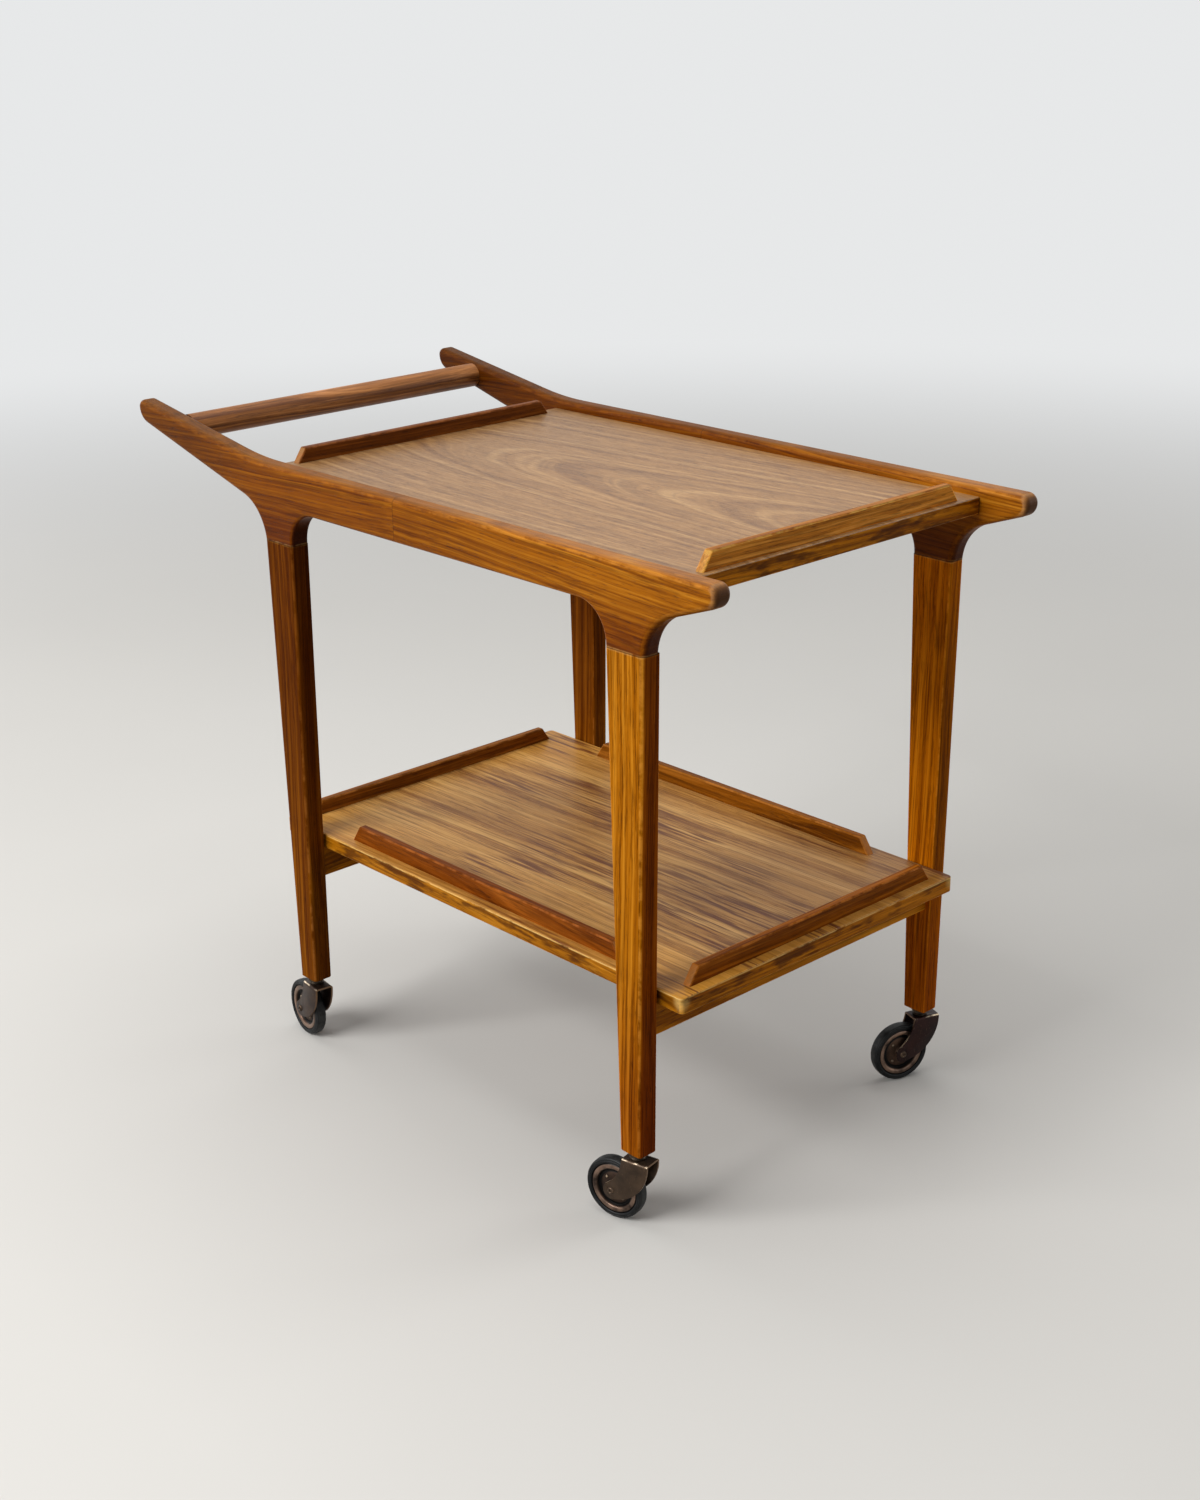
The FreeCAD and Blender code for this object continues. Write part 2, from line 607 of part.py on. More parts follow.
def build_casters():
    pieces = {
        "socket": caster_socket(),
        "stem": caster_stem(),
        "fork": caster_fork(),
        "axle": caster_axle(),
        "wheel": wheel_centre(),
        "tyre": wheel_tyre(),
    }
    for end, side in TRAIL_ANGLES:
        for piece, shape in pieces.items():
            save(f"{piece}_{end}_{side}", caster_place(end, side, shape))


def build_frame():
    for end, rail in side_rail_pieces().items():
        for side in SIDES:
            save(f"rail_{side}_{end}", on_side(rail, side))
    save("rail_tongues", group([splice_tongue(side) for side in SIDES]))
    save("handle_bar", handle_bar())
    for end in LEG_X:
        for side in SIDES:
            save(f"leg_{end}_{side}", leg(end, side))
        rail = cross_rail(end)
        for screw in shelf_screws([end]):
            rail = rail.cut(screw)
        save(f"cross_rail_{end}", rail)
    save("leg_dowels", group(leg_dowels(SIDES)))
    save("tray_dowels", group(tray_dowels(SIDES)))
    save("shelf_screws", group(shelf_screws(LEG_X)))


os.makedirs("parts", exist_ok=True)
build_frame()
build_tray()
build_shelf()
build_casters()
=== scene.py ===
import json
import math

import bmesh
import bpy
from mathutils import Matrix, Vector


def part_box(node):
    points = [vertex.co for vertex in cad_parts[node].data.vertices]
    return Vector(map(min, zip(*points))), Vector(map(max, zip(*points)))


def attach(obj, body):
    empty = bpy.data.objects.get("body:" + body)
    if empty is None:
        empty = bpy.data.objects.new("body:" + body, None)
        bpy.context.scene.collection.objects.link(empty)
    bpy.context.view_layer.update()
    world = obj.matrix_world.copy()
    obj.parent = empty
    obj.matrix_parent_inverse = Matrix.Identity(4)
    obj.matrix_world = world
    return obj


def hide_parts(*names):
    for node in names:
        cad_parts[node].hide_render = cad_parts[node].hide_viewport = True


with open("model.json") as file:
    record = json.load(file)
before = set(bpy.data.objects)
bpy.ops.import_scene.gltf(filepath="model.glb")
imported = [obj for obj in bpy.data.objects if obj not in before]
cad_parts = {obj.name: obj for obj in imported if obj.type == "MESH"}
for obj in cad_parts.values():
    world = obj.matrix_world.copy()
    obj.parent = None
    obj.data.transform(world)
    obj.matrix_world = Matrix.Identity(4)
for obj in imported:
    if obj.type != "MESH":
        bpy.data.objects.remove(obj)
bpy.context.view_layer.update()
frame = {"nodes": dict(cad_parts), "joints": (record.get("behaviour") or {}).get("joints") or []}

nodes = frame["nodes"]
scene = bpy.context.scene
scene.view_settings.view_transform = "Standard"

# Camera at the photograph's viewpoint: a normal lens a little above the push bar,
# off the cart's front right corner, turned slightly clockwise.
VIEW_AZIMUTH = math.radians(47.41)
VIEW_ELEVATION = math.radians(20.69)
VIEW_ROLL = math.radians(-0.93)
VIEW_POINT = Vector((1.6442, -1.4580, 1.1745))
VIEW_LENS_MM = 52.0
VIEW_SENSOR_MM = 36.0

view_back = Vector((
    math.sin(VIEW_AZIMUTH) * math.cos(VIEW_ELEVATION),
    -math.cos(VIEW_AZIMUTH) * math.cos(VIEW_ELEVATION),
    math.sin(VIEW_ELEVATION),
))
view_level = Vector((math.cos(VIEW_AZIMUTH), math.sin(VIEW_AZIMUTH), 0))
view_up = view_back.cross(view_level)
view_right = math.cos(VIEW_ROLL) * view_level + math.sin(VIEW_ROLL) * view_up
view_top = view_back.cross(view_right)
lens = bpy.data.cameras.new("camera")
lens.lens = VIEW_LENS_MM
lens.sensor_width = VIEW_SENSOR_MM
camera = bpy.data.objects.new("camera", lens)
view_turn = Matrix((view_right, view_top, view_back)).transposed()
camera.matrix_world = Matrix.Translation(VIEW_POINT) @ view_turn.to_4x4()
scene.collection.objects.link(camera)
scene.camera = camera


# Studio floor and light: a plain pale sheet that runs to the horizon, a broad soft key from
# the push bar's right, a wide overhead panel, weak panels on the other sides, and a pale surround.
FLOOR_HALF = 30.0
FLOOR_CORNERS = ((-1, -1), (1, -1), (1, 1), (-1, 1))
FLOOR_TONE = (0.62, 0.605, 0.575)
FLOOR_LIFT = 1.02
FLOOR_CLOUDS = (1.5, 1.5, 1.5)
FLOOR_BOUNCE = (0.26, 0.24, 0.21)
FLOOR_FADE = (1.4, 4.5)
SURROUND_TONE = (0.80, 0.81, 0.815)
SURROUND_FILL = 0.20


class Finish:
    """A node material under construction. Its methods add nodes and return their outputs."""

    def __init__(self, name):
        self.material = bpy.data.materials.new(name)
        self.material.use_nodes = True
        self.tree = self.material.node_tree
        self.shader = self.tree.nodes["Principled BSDF"]
        coordinates = self.tree.nodes.new("ShaderNodeTexCoord")
        self.place = coordinates.outputs["Object"]
        self.facing = coordinates.outputs["Normal"]

    def put(self, socket, value):
        if isinstance(value, bpy.types.NodeSocket):
            self.tree.links.new(value, socket)
        elif socket.type == "RGBA":
            socket.default_value = (*value, 1)
        else:
            socket.default_value = value

    def set(self, **values):
        for label, value in values.items():
            self.put(self.shader.inputs[label.replace("_", " ")], value)

    def maths(self, operation, first, second=0.0):
        node = self.tree.nodes.new("ShaderNodeMath")
        node.operation = operation
        self.put(node.inputs[0], first)
        self.put(node.inputs[1], second)
        return node.outputs[0]

    def times(self, first, *others):
        """Product of two or more factors."""
        for other in others:
            first = self.maths("MULTIPLY", first, other)
        return first

    def off(self, value, target):
        """How far a value is from a target, on either side of it."""
        return self.maths("ABSOLUTE", self.maths("SUBTRACT", value, target))

    def vector(self, operation, first, second=(0, 0, 0)):
        node = self.tree.nodes.new("ShaderNodeVectorMath")
        node.operation = operation
        self.put(node.inputs[0], first)
        self.put(node.inputs[1], second)
        return node.outputs["Value" if operation in ("LENGTH", "DISTANCE", "DOT_PRODUCT") else "Vector"]

    def parts(self, vector):
        node = self.tree.nodes.new("ShaderNodeSeparateXYZ")
        self.put(node.inputs[0], vector)
        return node.outputs

    def join(self, x, y, z):
        node = self.tree.nodes.new("ShaderNodeCombineXYZ")
        for socket, value in zip(node.inputs, (x, y, z)):
            self.put(socket, value)
        return node.outputs[0]

    def noise(self, vector, stretch, detail=2.0, roughness=0.5, output="Fac"):
        """Soft noise. stretch is how many swings there are to a metre on each axis."""
        node = self.tree.nodes.new("ShaderNodeTexNoise")
        self.put(node.inputs["Vector"], self.vector("MULTIPLY", vector, stretch))
        self.put(node.inputs["Scale"], 1.0)
        self.put(node.inputs["Detail"], detail)
        self.put(node.inputs["Roughness"], roughness)
        return node.outputs[output]

    def ramp(self, factor, low, high):
        """0 below low and 1 above high, or the other way round where low is the larger."""
        node = self.tree.nodes.new("ShaderNodeMapRange")
        node.interpolation_type = "SMOOTHSTEP"
        self.put(node.inputs["Value"], factor)
        self.put(node.inputs["From Min"], min(low, high))
        self.put(node.inputs["From Max"], max(low, high))
        self.put(node.inputs["To Min"], 0.0 if low < high else 1.0)
        self.put(node.inputs["To Max"], 1.0 if low < high else 0.0)
        return node.outputs["Result"]

    def patches(self, vector, stretch, levels, detail=2.0, roughness=0.5):
        """A cloudy mask: noise spread from 0 to 1 between two of its levels."""
        return self.ramp(self.noise(vector, stretch, detail, roughness), *levels)

    def span(self, factor, low, high):
        """Spreads a factor of 0 to 1 over low to high."""
        return self.maths("ADD", self.maths("MULTIPLY", factor, high - low), low)

    def tones(self, factor, stops):
        node = self.tree.nodes.new("ShaderNodeValToRGB")
        while len(node.color_ramp.elements) < len(stops):
            node.color_ramp.elements.new(0.5)
        for element, (position, tone) in zip(node.color_ramp.elements, stops):
            element.position = position
            element.color = (*tone, 1)
        self.put(node.inputs["Fac"], factor)
        return node.outputs["Color"]

    def blend(self, factor, first, second, mode="MIX"):
        node = self.tree.nodes.new("ShaderNodeMix")
        node.data_type = "RGBA"
        node.blend_type = mode
        self.put(node.inputs["Factor"], factor)
        self.put(node.inputs[6], first)
        self.put(node.inputs[7], second)
        return node.outputs[2]

    def relief(self, height, depth):
        node = self.tree.nodes.new("ShaderNodeBump")
        self.put(node.inputs["Strength"], 1.0)
        self.put(node.inputs["Distance"], depth)
        self.put(node.inputs["Height"], height)
        self.put(self.shader.inputs["Normal"], node.outputs["Normal"])


def seen_rays(tree):
    """1 for rays that show the surround or the floor, and 0 for rays that only carry their light."""
    path = tree.nodes.new("ShaderNodeLightPath")
    seen = path.outputs["Is Camera Ray"]
    for ray in ("Is Glossy Ray", "Is Transmission Ray"):
        either = tree.nodes.new("ShaderNodeMath")
        either.operation = "MAXIMUM"
        tree.links.new(seen, either.inputs[0])
        tree.links.new(path.outputs[ray], either.inputs[1])
        seen = either.outputs[0]
    return seen


def shown_level(tree):
    """Full strength for rays that show the surround, and the weak fill for its light."""
    level = tree.nodes.new("ShaderNodeMapRange")
    tree.links.new(seen_rays(tree), level.inputs["Value"])
    level.inputs["To Min"].default_value = SURROUND_FILL
    level.inputs["To Max"].default_value = 1.0
    return level.outputs["Result"]


floor_finish = Finish("studio_floor")
floor_cloud = floor_finish.noise(floor_finish.place, FLOOR_CLOUDS, 3.0)
floor_lifted = tuple(level * FLOOR_LIFT for level in FLOOR_TONE)
floor_shown = floor_finish.tones(floor_cloud, [(0.3, FLOOR_TONE), (0.7, floor_lifted)])
floor_finish.set(
    Base_Color=floor_finish.blend(seen_rays(floor_finish.tree), FLOOR_BOUNCE, floor_shown),
    Roughness=0.8,
    Specular_IOR_Level=0.1,
)
far_off = floor_finish.ramp(floor_finish.vector("LENGTH", floor_finish.place), *FLOOR_FADE)
haze = floor_finish.tree.nodes.new("ShaderNodeEmission")
haze.inputs["Color"].default_value = (*SURROUND_TONE, 1)
floor_finish.put(haze.inputs["Strength"], shown_level(floor_finish.tree))
fade = floor_finish.tree.nodes.new("ShaderNodeMixShader")
floor_finish.put(fade.inputs["Fac"], far_off)
floor_finish.put(fade.inputs[1], floor_finish.shader.outputs[0])
floor_finish.put(fade.inputs[2], haze.outputs[0])
floor_finish.put(floor_finish.tree.nodes["Material Output"].inputs["Surface"], fade.outputs[0])
sheet = bpy.data.meshes.new("studio_floor")
sheet.from_pydata([(x * FLOOR_HALF, y * FLOOR_HALF, 0) for x, y in FLOOR_CORNERS], [], [(0, 1, 2, 3)])
floor = bpy.data.objects.new("studio_floor", sheet)
floor.data.materials.append(floor_finish.material)
scene.collection.objects.link(floor)

surround = bpy.data.worlds.new("surround")
surround.use_nodes = True
scene.world = surround
sky = surround.node_tree
backdrop = sky.nodes["Background"]
backdrop.inputs["Color"].default_value = (*SURROUND_TONE, 1)
sky.links.new(shown_level(sky), backdrop.inputs["Strength"])

PANEL_AIM = Vector((0, 0, 0.4))
PANELS = {
    "key_panel": {"place": (-0.7, -3.4, 2.4), "size": (2.6, 2.0), "watts": 165},
    "overhead_panel": {"place": (0.0, 0.3, 3.6), "size": (3.0, 3.0), "watts": 70},
    "push_panel": {"place": (-3.4, -0.4, 1.5), "size": (1.6, 1.6), "watts": 18},
    "far_panel": {"place": (1.6, 3.4, 1.5), "size": (1.6, 1.6), "watts": 26},
    "front_panel": {"place": (3.6, 1.2, 1.6), "size": (1.6, 1.6), "watts": 4},
}
for panel_name, panel in PANELS.items():
    light = bpy.data.lights.new(panel_name, "AREA")
    light.shape = "RECTANGLE"
    light.size, light.size_y = panel["size"]
    light.energy = panel["watts"]
    lamp = bpy.data.objects.new(panel_name, light)
    lamp.location = panel["place"]
    lamp.rotation_euler = (PANEL_AIM - Vector(panel["place"])).to_track_quat("-Z", "Y").to_euler()
    scene.collection.objects.link(lamp)


# Side rails: hardwood planks with upswept horns, sawn in two lengths and spliced, then rounded
# and oiled. The grain runs along the cart; the rear length is from a darker board.
def srgb(red, green, blue):
    def linear(level):
        level /= 255
        return level / 12.92 if level <= 0.04045 else ((level + 0.055) / 1.055) ** 2.4
    return (linear(red), linear(green), linear(blue))


ALONG_X = (0.0, 0.0, 0.0)
ALONG_Y = (0.0, 0.0, math.pi / 2)
ALONG_Z = (0.0, -math.pi / 2, 0.0)
# Marks of the wood: how many of each there are to a metre, along and across the log.
LOG_DRIFT = (1.6, 5.0, 5.0)
BROAD_STREAKS = (0.8, 30, 30)
LINE_BREAKS = (2.0, 45, 45)
MOTTLES = (13, 42, 42)
THREAD_ALONG = 5.0
FIBRES = (22, 1500, 1500)
PORES = (70, 1150, 1150)
WEAR_AND_GLINT_PATCHES = (60, 60, 60)
# How broad the dark lines are drawn, what mottling leaves of the colour, and how deep the grain is.
LINE_WIDTH = 0.045
MOTTLE_SHADE = (0.76, 0.72, 0.66)
GRAIN_DEPTH = 0.00012


def timber(name, run, heart, lean, band, tones, line_tone, lines, streak=0.45, fine=400,
           wander=0.010, gloss=0.38, specular=0.05, worn=0.25, rounding=(0.10, 0.35),
           ends=0.55, end_tone=None, squared=False):
    """Oiled hardwood, solid through: uneven growth bands about a heart line, dark lines, streaks, pores.

    run turns the log's own X axis along the grain, heart is a point on the heart line, lean tips
    that line by small angles, band is the usual band width in metres, tones go from pale to dark, lines
    and streak say how strong the dark lines and the fine streaks are, fine is how many streaks there
    are to a metre, wander is how far the figure strays in metres, and gloss is the oil's roughness.
    worn is how far the rounded arrises have paled, by wear and by a painted highlight; rounding says which
    lean of a face is an arris, and squared takes every face that leans off all three axes for one. ends is
    how far end grain turns to end_tone, or else to the line tone.
    """
    wood = Finish(name)
    log = wood.tree.nodes.new("ShaderNodeMapping")
    log.vector_type = "TEXTURE"
    log.inputs["Location"].default_value = heart
    log.inputs["Rotation"].default_value = tuple(a + b for a, b in zip(run, lean))
    wood.put(log.inputs["Vector"], wood.place)
    spot = log.outputs["Vector"]
    drift = wood.vector("SUBTRACT", wood.noise(spot, LOG_DRIFT, 3.0, 0.55, "Color"), (0.5, 0.5, 0.5))
    bent = wood.vector("ADD", spot, wood.vector("MULTIPLY", drift, (0, 2 * wander, 2 * wander)))
    radius = wood.vector("LENGTH", wood.vector("MULTIPLY", bent, (0, 1, 1)))
    shells = wood.join(wood.parts(spot)["X"], radius, 0.0)
    pale, middle, dark = tones

    growth = wood.patches(shells, (0.5, 1 / band, 0), (0.33, 0.67), 4.0, 0.6)
    colour = wood.tones(growth, [(0.0, dark), (0.36, middle), (0.62, middle), (1.0, pale)])
    broad = wood.patches(bent, BROAD_STREAKS, (0.48, 0.70), 3.0, 0.6)
    colour = wood.blend(wood.times(broad, lines * 0.6), colour, line_tone)
    contour = wood.noise(shells, (0.7, 1.2 / band, 0), 2.0, 0.5)
    ridge = wood.ramp(wood.off(contour, 0.5), LINE_WIDTH, 0.0)
    ridge = wood.times(ridge, wood.patches(bent, LINE_BREAKS, (0.40, 0.58)))
    colour = wood.blend(wood.times(ridge, lines), colour, line_tone)
    mottle = wood.patches(spot, MOTTLES, (0.46, 0.66), 3.0, 0.6)
    colour = wood.blend(wood.times(mottle, 0.55), colour, MOTTLE_SHADE, "MULTIPLY")
    thread = wood.noise(bent, (THREAD_ALONG, fine, fine), 4.0, 0.66)
    colour = wood.blend(wood.times(wood.ramp(thread, 0.50, 0.62), streak), colour, line_tone)
    colour = wood.blend(wood.times(wood.ramp(thread, 0.46, 0.34), streak), colour, pale)
    fibre = wood.noise(spot, FIBRES, 2.0, 0.6)
    colour = wood.blend(wood.times(wood.ramp(fibre, 0.48, 0.66), 0.3), colour, dark)
    pores = wood.times(wood.patches(spot, PORES, (0.60, 0.70), 1.0), wood.ramp(growth, 0.8, 0.3))
    colour = wood.blend(wood.times(pores, 0.5), colour, tuple(level * 0.4 for level in line_tone))

    square = wood.parts(wood.vector("ABSOLUTE", wood.facing))
    end_axis = "XYZ"[(ALONG_X, ALONG_Y, ALONG_Z).index(run)]
    end_grain = wood.ramp(square[end_axis], 0.55, 0.95)
    colour = wood.blend(wood.times(end_grain, ends), colour, end_tone or line_tone)
    if squared:
        flattest = wood.maths("MAXIMUM", wood.maths("MAXIMUM", square["X"], square["Y"]), square["Z"])
        arris = wood.ramp(flattest, 0.995, 0.94)
    else:
        arris = wood.times(wood.ramp(square["Y"], *rounding), wood.ramp(square["Y"], 0.99, 0.93))
    # The arrises pale in patches, partly wear and partly a painted highlight.
    patchy = wood.patches(wood.place, WEAR_AND_GLINT_PATCHES, (0.38, 0.62), 4.0, 0.65)
    worn_and_glinting_tone = tuple(min(1.0, level * 1.35 + 0.02) for level in pale)
    colour = wood.blend(wood.times(arris, patchy, worn), colour, worn_and_glinting_tone)
    wood.set(
        Base_Color=colour,
        Roughness=wood.span(fibre, gloss - 0.06, gloss + 0.14),
        Specular_IOR_Level=specular,
    )
    wood.relief(wood.maths("SUBTRACT", wood.times(fibre, 0.4), pores), GRAIN_DEPTH)
    return wood


def dress(names, material):
    for name in names:
        nodes[name].data.materials.clear()
        nodes[name].data.materials.append(material)


def tint(wood, mask, tone, mode="MIX"):
    """Lays a tone over the colour that a finish has so far, as far as the mask goes."""
    socket = wood.shader.inputs["Base Color"]
    wood.put(socket, wood.blend(mask, socket.links[0].from_socket, tone, mode))


def shade(wood, mask, share):
    """Leaves a share of the red, green and blue that a finish has so far, as far as the mask goes."""
    tint(wood, mask, share, "MULTIPLY")


GLUE_LINE = (0.0007, 0.0003)
GLUE_TONE = srgb(46, 20, 4)
JOINT_HIGHLIGHT_REACH = (0.0022, 0.0008)
JOINT_HIGHLIGHT_BREAKS = (70, 70, 70)
JOINT_PAINTED_HIGHLIGHT = srgb(214, 166, 100)


def seam(wood, axis, place, strength=0.75, pale=0.0):
    """A fine dark glue line across one of the part's axes, with a painted highlight in broken patches on
    both sides of it.
    """
    gap = wood.off(wood.parts(wood.place)[axis], place)
    # pale is how strong the painted highlight beside the line is.
    if pale:
        patchy = wood.patches(wood.place, JOINT_HIGHLIGHT_BREAKS, (0.36, 0.58), 3.0, 0.6)
        tint(wood, wood.times(wood.ramp(gap, *JOINT_HIGHLIGHT_REACH), patchy, pale), JOINT_PAINTED_HIGHLIGHT)
    tint(wood, wood.times(wood.ramp(gap, *GLUE_LINE), strength), GLUE_TONE)


RAIL_TONES = (srgb(188, 120, 28), srgb(161, 93, 8), srgb(128, 68, 2))
RAIL_STREAK = srgb(84, 36, 0)
RAIL_PAINTED_SHEEN = srgb(186, 148, 108)
RAIL_END = srgb(56, 25, 6)
FLARE_Z = (0.640, 0.600)
FLARE_SHADE = (0.50, 0.36, 0.05)
REAR_BOARD_X = (0.30, -0.10)
REAR_BOARD_SHADE = (0.56, 0.46, 0.14)
HORN_X = (-0.20, -0.36)
HORN_SHADE = (0.56, 0.57, 1.0)
NOSE_X = (0.424, 0.434)
LEFT_INSIDE_X = (0.38, 0.26)
LEFT_INSIDE_SHADE = (0.62, 0.54, 0.3)
SPLICE_X = 0.010
LEG_JOINT_Z = 0.585
RAIL_Y = {"right": -0.212, "left": 0.212}
RAIL_TURN = {"right": 0.02, "left": -0.02}
RAIL_HEART = {"front": (0.2, 0.56), "rear": (-0.2, 0.55)}
RAIL_LEAN = {"front": 0.03, "rear": -0.05}
RAIL_BAND = 0.0042


def rail_marks(wood, side):
    """A painted sheen on the tops and a painted highlight round the noses, flares and rear lengths darker,
    the horns darker, glue lines with a painted highlight beside the one at the leg joint, and the inside
    of the left rail darker."""
    spot = wood.parts(wood.place)
    facing = wood.parts(wood.facing)
    # Painted sheen: faces that look up are lightened in place of reflected light.
    tint(wood, wood.times(wood.ramp(facing["Z"], 0.55, 0.97), 0.22), RAIL_PAINTED_SHEEN)
    shade(wood, wood.times(wood.ramp(spot["Z"], *FLARE_Z), 0.95), FLARE_SHADE)
    shade(wood, wood.times(wood.ramp(spot["X"], *REAR_BOARD_X), 0.9), REAR_BOARD_SHADE)
    shade(wood, wood.times(wood.ramp(spot["X"], *HORN_X), 0.8), HORN_SHADE)
    nose = wood.ramp(spot["X"], *NOSE_X)
    # Painted highlight on the rounding into the nose end; the end grain itself is darker.
    tint(wood, wood.times(nose, wood.ramp(facing["X"], 0.10, 0.40), 0.3), RAIL_PAINTED_SHEEN)
    tint(wood, wood.times(nose, wood.ramp(facing["X"], 0.40, 0.90), 0.7), RAIL_END)
    seam(wood, "X", SPLICE_X, 0.5)
    seam(wood, "Z", LEG_JOINT_Z, 0.6, 0.3)
    if side == "left":
        inside = wood.times(wood.ramp(facing["Y"], 0.7, 0.2), wood.ramp(spot["X"], *LEFT_INSIDE_X))
        shade(wood, inside, LEFT_INSIDE_SHADE)


for side, rail_y in RAIL_Y.items():
    for end, (heart_x, heart_z) in RAIL_HEART.items():
        rail_wood = timber(
            f"rail_wood_{end}_{side}", ALONG_X, (heart_x, rail_y, heart_z),
            (0, RAIL_LEAN[end], RAIL_TURN[side]), RAIL_BAND, RAIL_TONES, RAIL_STREAK,
            lines=0.22, streak=0.50, specular=0.06, worn=0.32, rounding=(0.6, 0.85), ends=0.8,
        )
        rail_marks(rail_wood, side)
        dress([f"rail_{side}_{end}"], rail_wood.material)


# Legs: tapered posts of the same hardwood with upright streaky grain, their long edges crisp at the
# foot and shaved rounder toward the rails, to which they are dowelled. Casters are let into the feet.
MM = 0.001
CORNERS = ("front_left", "front_right", "rear_left", "rear_right")
SHARP_TURN = math.radians(38)
FOOT_CHAMFER = 1.2 * MM
OUTER_ROUNDING = 4.0 * MM
OUTSIDE_TOP_ROUNDING = 6.5 * MM
INNER_ROUNDING = 1.6 * MM
INNER_TOP_ROUNDING = 3.0 * MM
LEG_RINGS = 12
ARC_STEPS = 6
FLAT_HOLD = 0.6 * MM
SOCKET_HOLE_RADIUS = 5.5 * MM
SOCKET_HOLE_DEPTH = 34.0 * MM


def fitted(made, name, materials, body, node):
    """Turns a mesh under construction into a piece that rides on a body in place of a node."""
    bmesh.ops.recalc_face_normals(made, faces=made.faces)
    mesh = bpy.data.meshes.new(name)
    made.to_mesh(mesh)
    made.free()
    mesh.set_sharp_from_angle(angle=SHARP_TURN)
    for material in materials:
        mesh.materials.append(material)
    piece = bpy.data.objects.new(name, mesh)
    scene.collection.objects.link(piece)
    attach(piece, body)
    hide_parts(node)


def shaved_ring(made, middle, half, rounding):
    """One level ring of a leg: a rectangle with a rounding for each of its corners.

    A point set in from each arc keeps the flats between the arcs flat.
    """
    ring = []
    for quarter, (east, north) in enumerate(((1, 1), (-1, 1), (-1, -1), (1, -1))):
        radius = rounding[east, north]
        hub_x = middle.x + east * (half[0] - radius)
        hub_y = middle.y + north * (half[1] - radius)
        hub = Vector((hub_x, hub_y, middle.z))
        ways = [(quarter + step / ARC_STEPS) * math.pi / 2 for step in range(ARC_STEPS + 1)]
        arc = [hub + radius * Vector((math.cos(way), math.sin(way), 0)) for way in ways]
        before = FLAT_HOLD * Vector((math.sin(ways[0]), -math.cos(ways[0]), 0))
        after = FLAT_HOLD * Vector((-math.sin(ways[-1]), math.cos(ways[-1]), 0))
        ring += [made.verts.new(point) for point in (arc[0] + before, *arc, arc[-1] + after)]
    return ring


def shaved_leg(node, outside, outer):
    """A leg in the bounds of its node, drilled for its socket and shaved rounder toward the rail.

    outside is the sign of the X side that faces away from the other legs, which is shaved most, and
    outer that of the Y side that shows; the edges of the side toward the boards are shaved least.
    """
    low, high = (Vector(corner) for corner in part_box(node))
    middle = (low + high) / 2
    foot_top = low.z + 2 * FOOT_CHAMFER
    foot_half = max(point.co.x for point in nodes[node].data.vertices if point.co.z < foot_top) - middle.x
    top_half = high.x - middle.x
    half_thick = high.y - middle.y
    roundings = {
        (outside, outer): (OUTER_ROUNDING, OUTSIDE_TOP_ROUNDING),
        (-outside, outer): (OUTER_ROUNDING, OUTER_ROUNDING),
        (outside, -outer): (INNER_ROUNDING, INNER_TOP_ROUNDING),
        (-outside, -outer): (INNER_ROUNDING, INNER_TOP_ROUNDING),
    }
    made = bmesh.new()

    def ring_at(height, rise, inset=0.0):
        half_wide = foot_half + rise * (top_half - foot_half)
        rounding = {edge: foot + rise * (top - foot) - inset for edge, (foot, top) in roundings.items()}
        level = Vector((middle.x, middle.y, height))
        return shaved_ring(made, level, (half_wide - inset, half_thick - inset), rounding)

    rings = [ring_at(low.z, 0.0, FOOT_CHAMFER)]
    start = low.z + FOOT_CHAMFER
    for step in range(LEG_RINGS + 1):
        rise = step / LEG_RINGS
        rings.append(ring_at(start + rise * (high.z - start), rise))
    around = len(rings[0])
    ways = [2 * math.pi * (step + 0.5) / around for step in range(around)]
    spokes = [SOCKET_HOLE_RADIUS * Vector((math.cos(way), math.sin(way), 0)) for way in ways]
    for depth in (0.0, SOCKET_HOLE_DEPTH):
        drilled = Vector((middle.x, middle.y, low.z + depth))
        rings.insert(0, [made.verts.new(drilled + spoke) for spoke in spokes])
    for below, above in zip(rings, rings[1:]):
        for step in range(around):
            face = made.faces.new((below[step - 1], below[step], above[step], above[step - 1]))
            face.smooth = True
    made.faces.new(rings[0])
    made.faces.new(rings[-1])
    return made


LEG_TONES = {
    "front_left": (srgb(208, 124, 16), srgb(186, 103, 2), srgb(158, 82, 0)),
    "front_right": (srgb(206, 134, 32), srgb(175, 103, 8), srgb(142, 77, 0)),
    "rear_left": (srgb(166, 98, 20), srgb(138, 76, 8), srgb(110, 55, 0)),
    "rear_right": (srgb(144, 84, 14), srgb(118, 62, 4), srgb(94, 43, 0)),
}
LEG_STREAK = srgb(72, 29, 0)
LEG_HEART_X = {"front": 0.383, "rear": -0.139}
LEG_HEART_Y = {"left": 0.23744, "right": -0.23744}
LEG_HEART_Z = 0.3
LEG_LEAN = (0, 0.02, 0.03)
LEG_BAND = 0.0075
FRONT_FOOT_Z = (0.30, 0.12)
FRONT_FOOT_SHADE = (0.72, 0.54, 0.5)
REAR_LEG_Z = (0.16, 0.46)
REAR_LEG_SHADE = (0.52, 0.42, 0.22)
LEG_FRONT_FACE = (0.70, 0.95)
FRONT_FACE_PAINTED_SHADE = {"right": (0.70, 0.46, 0.2), "left": (0.74, 0.70, 0.7)}
LEG_MIDDLE_Z = 0.37
ENDS_PAINTED_LIGHT_REACH = (0.08, 0.20)
ENDS_PAINTED_LIGHT_GAIN = (1.6, 1.6, 1.4)


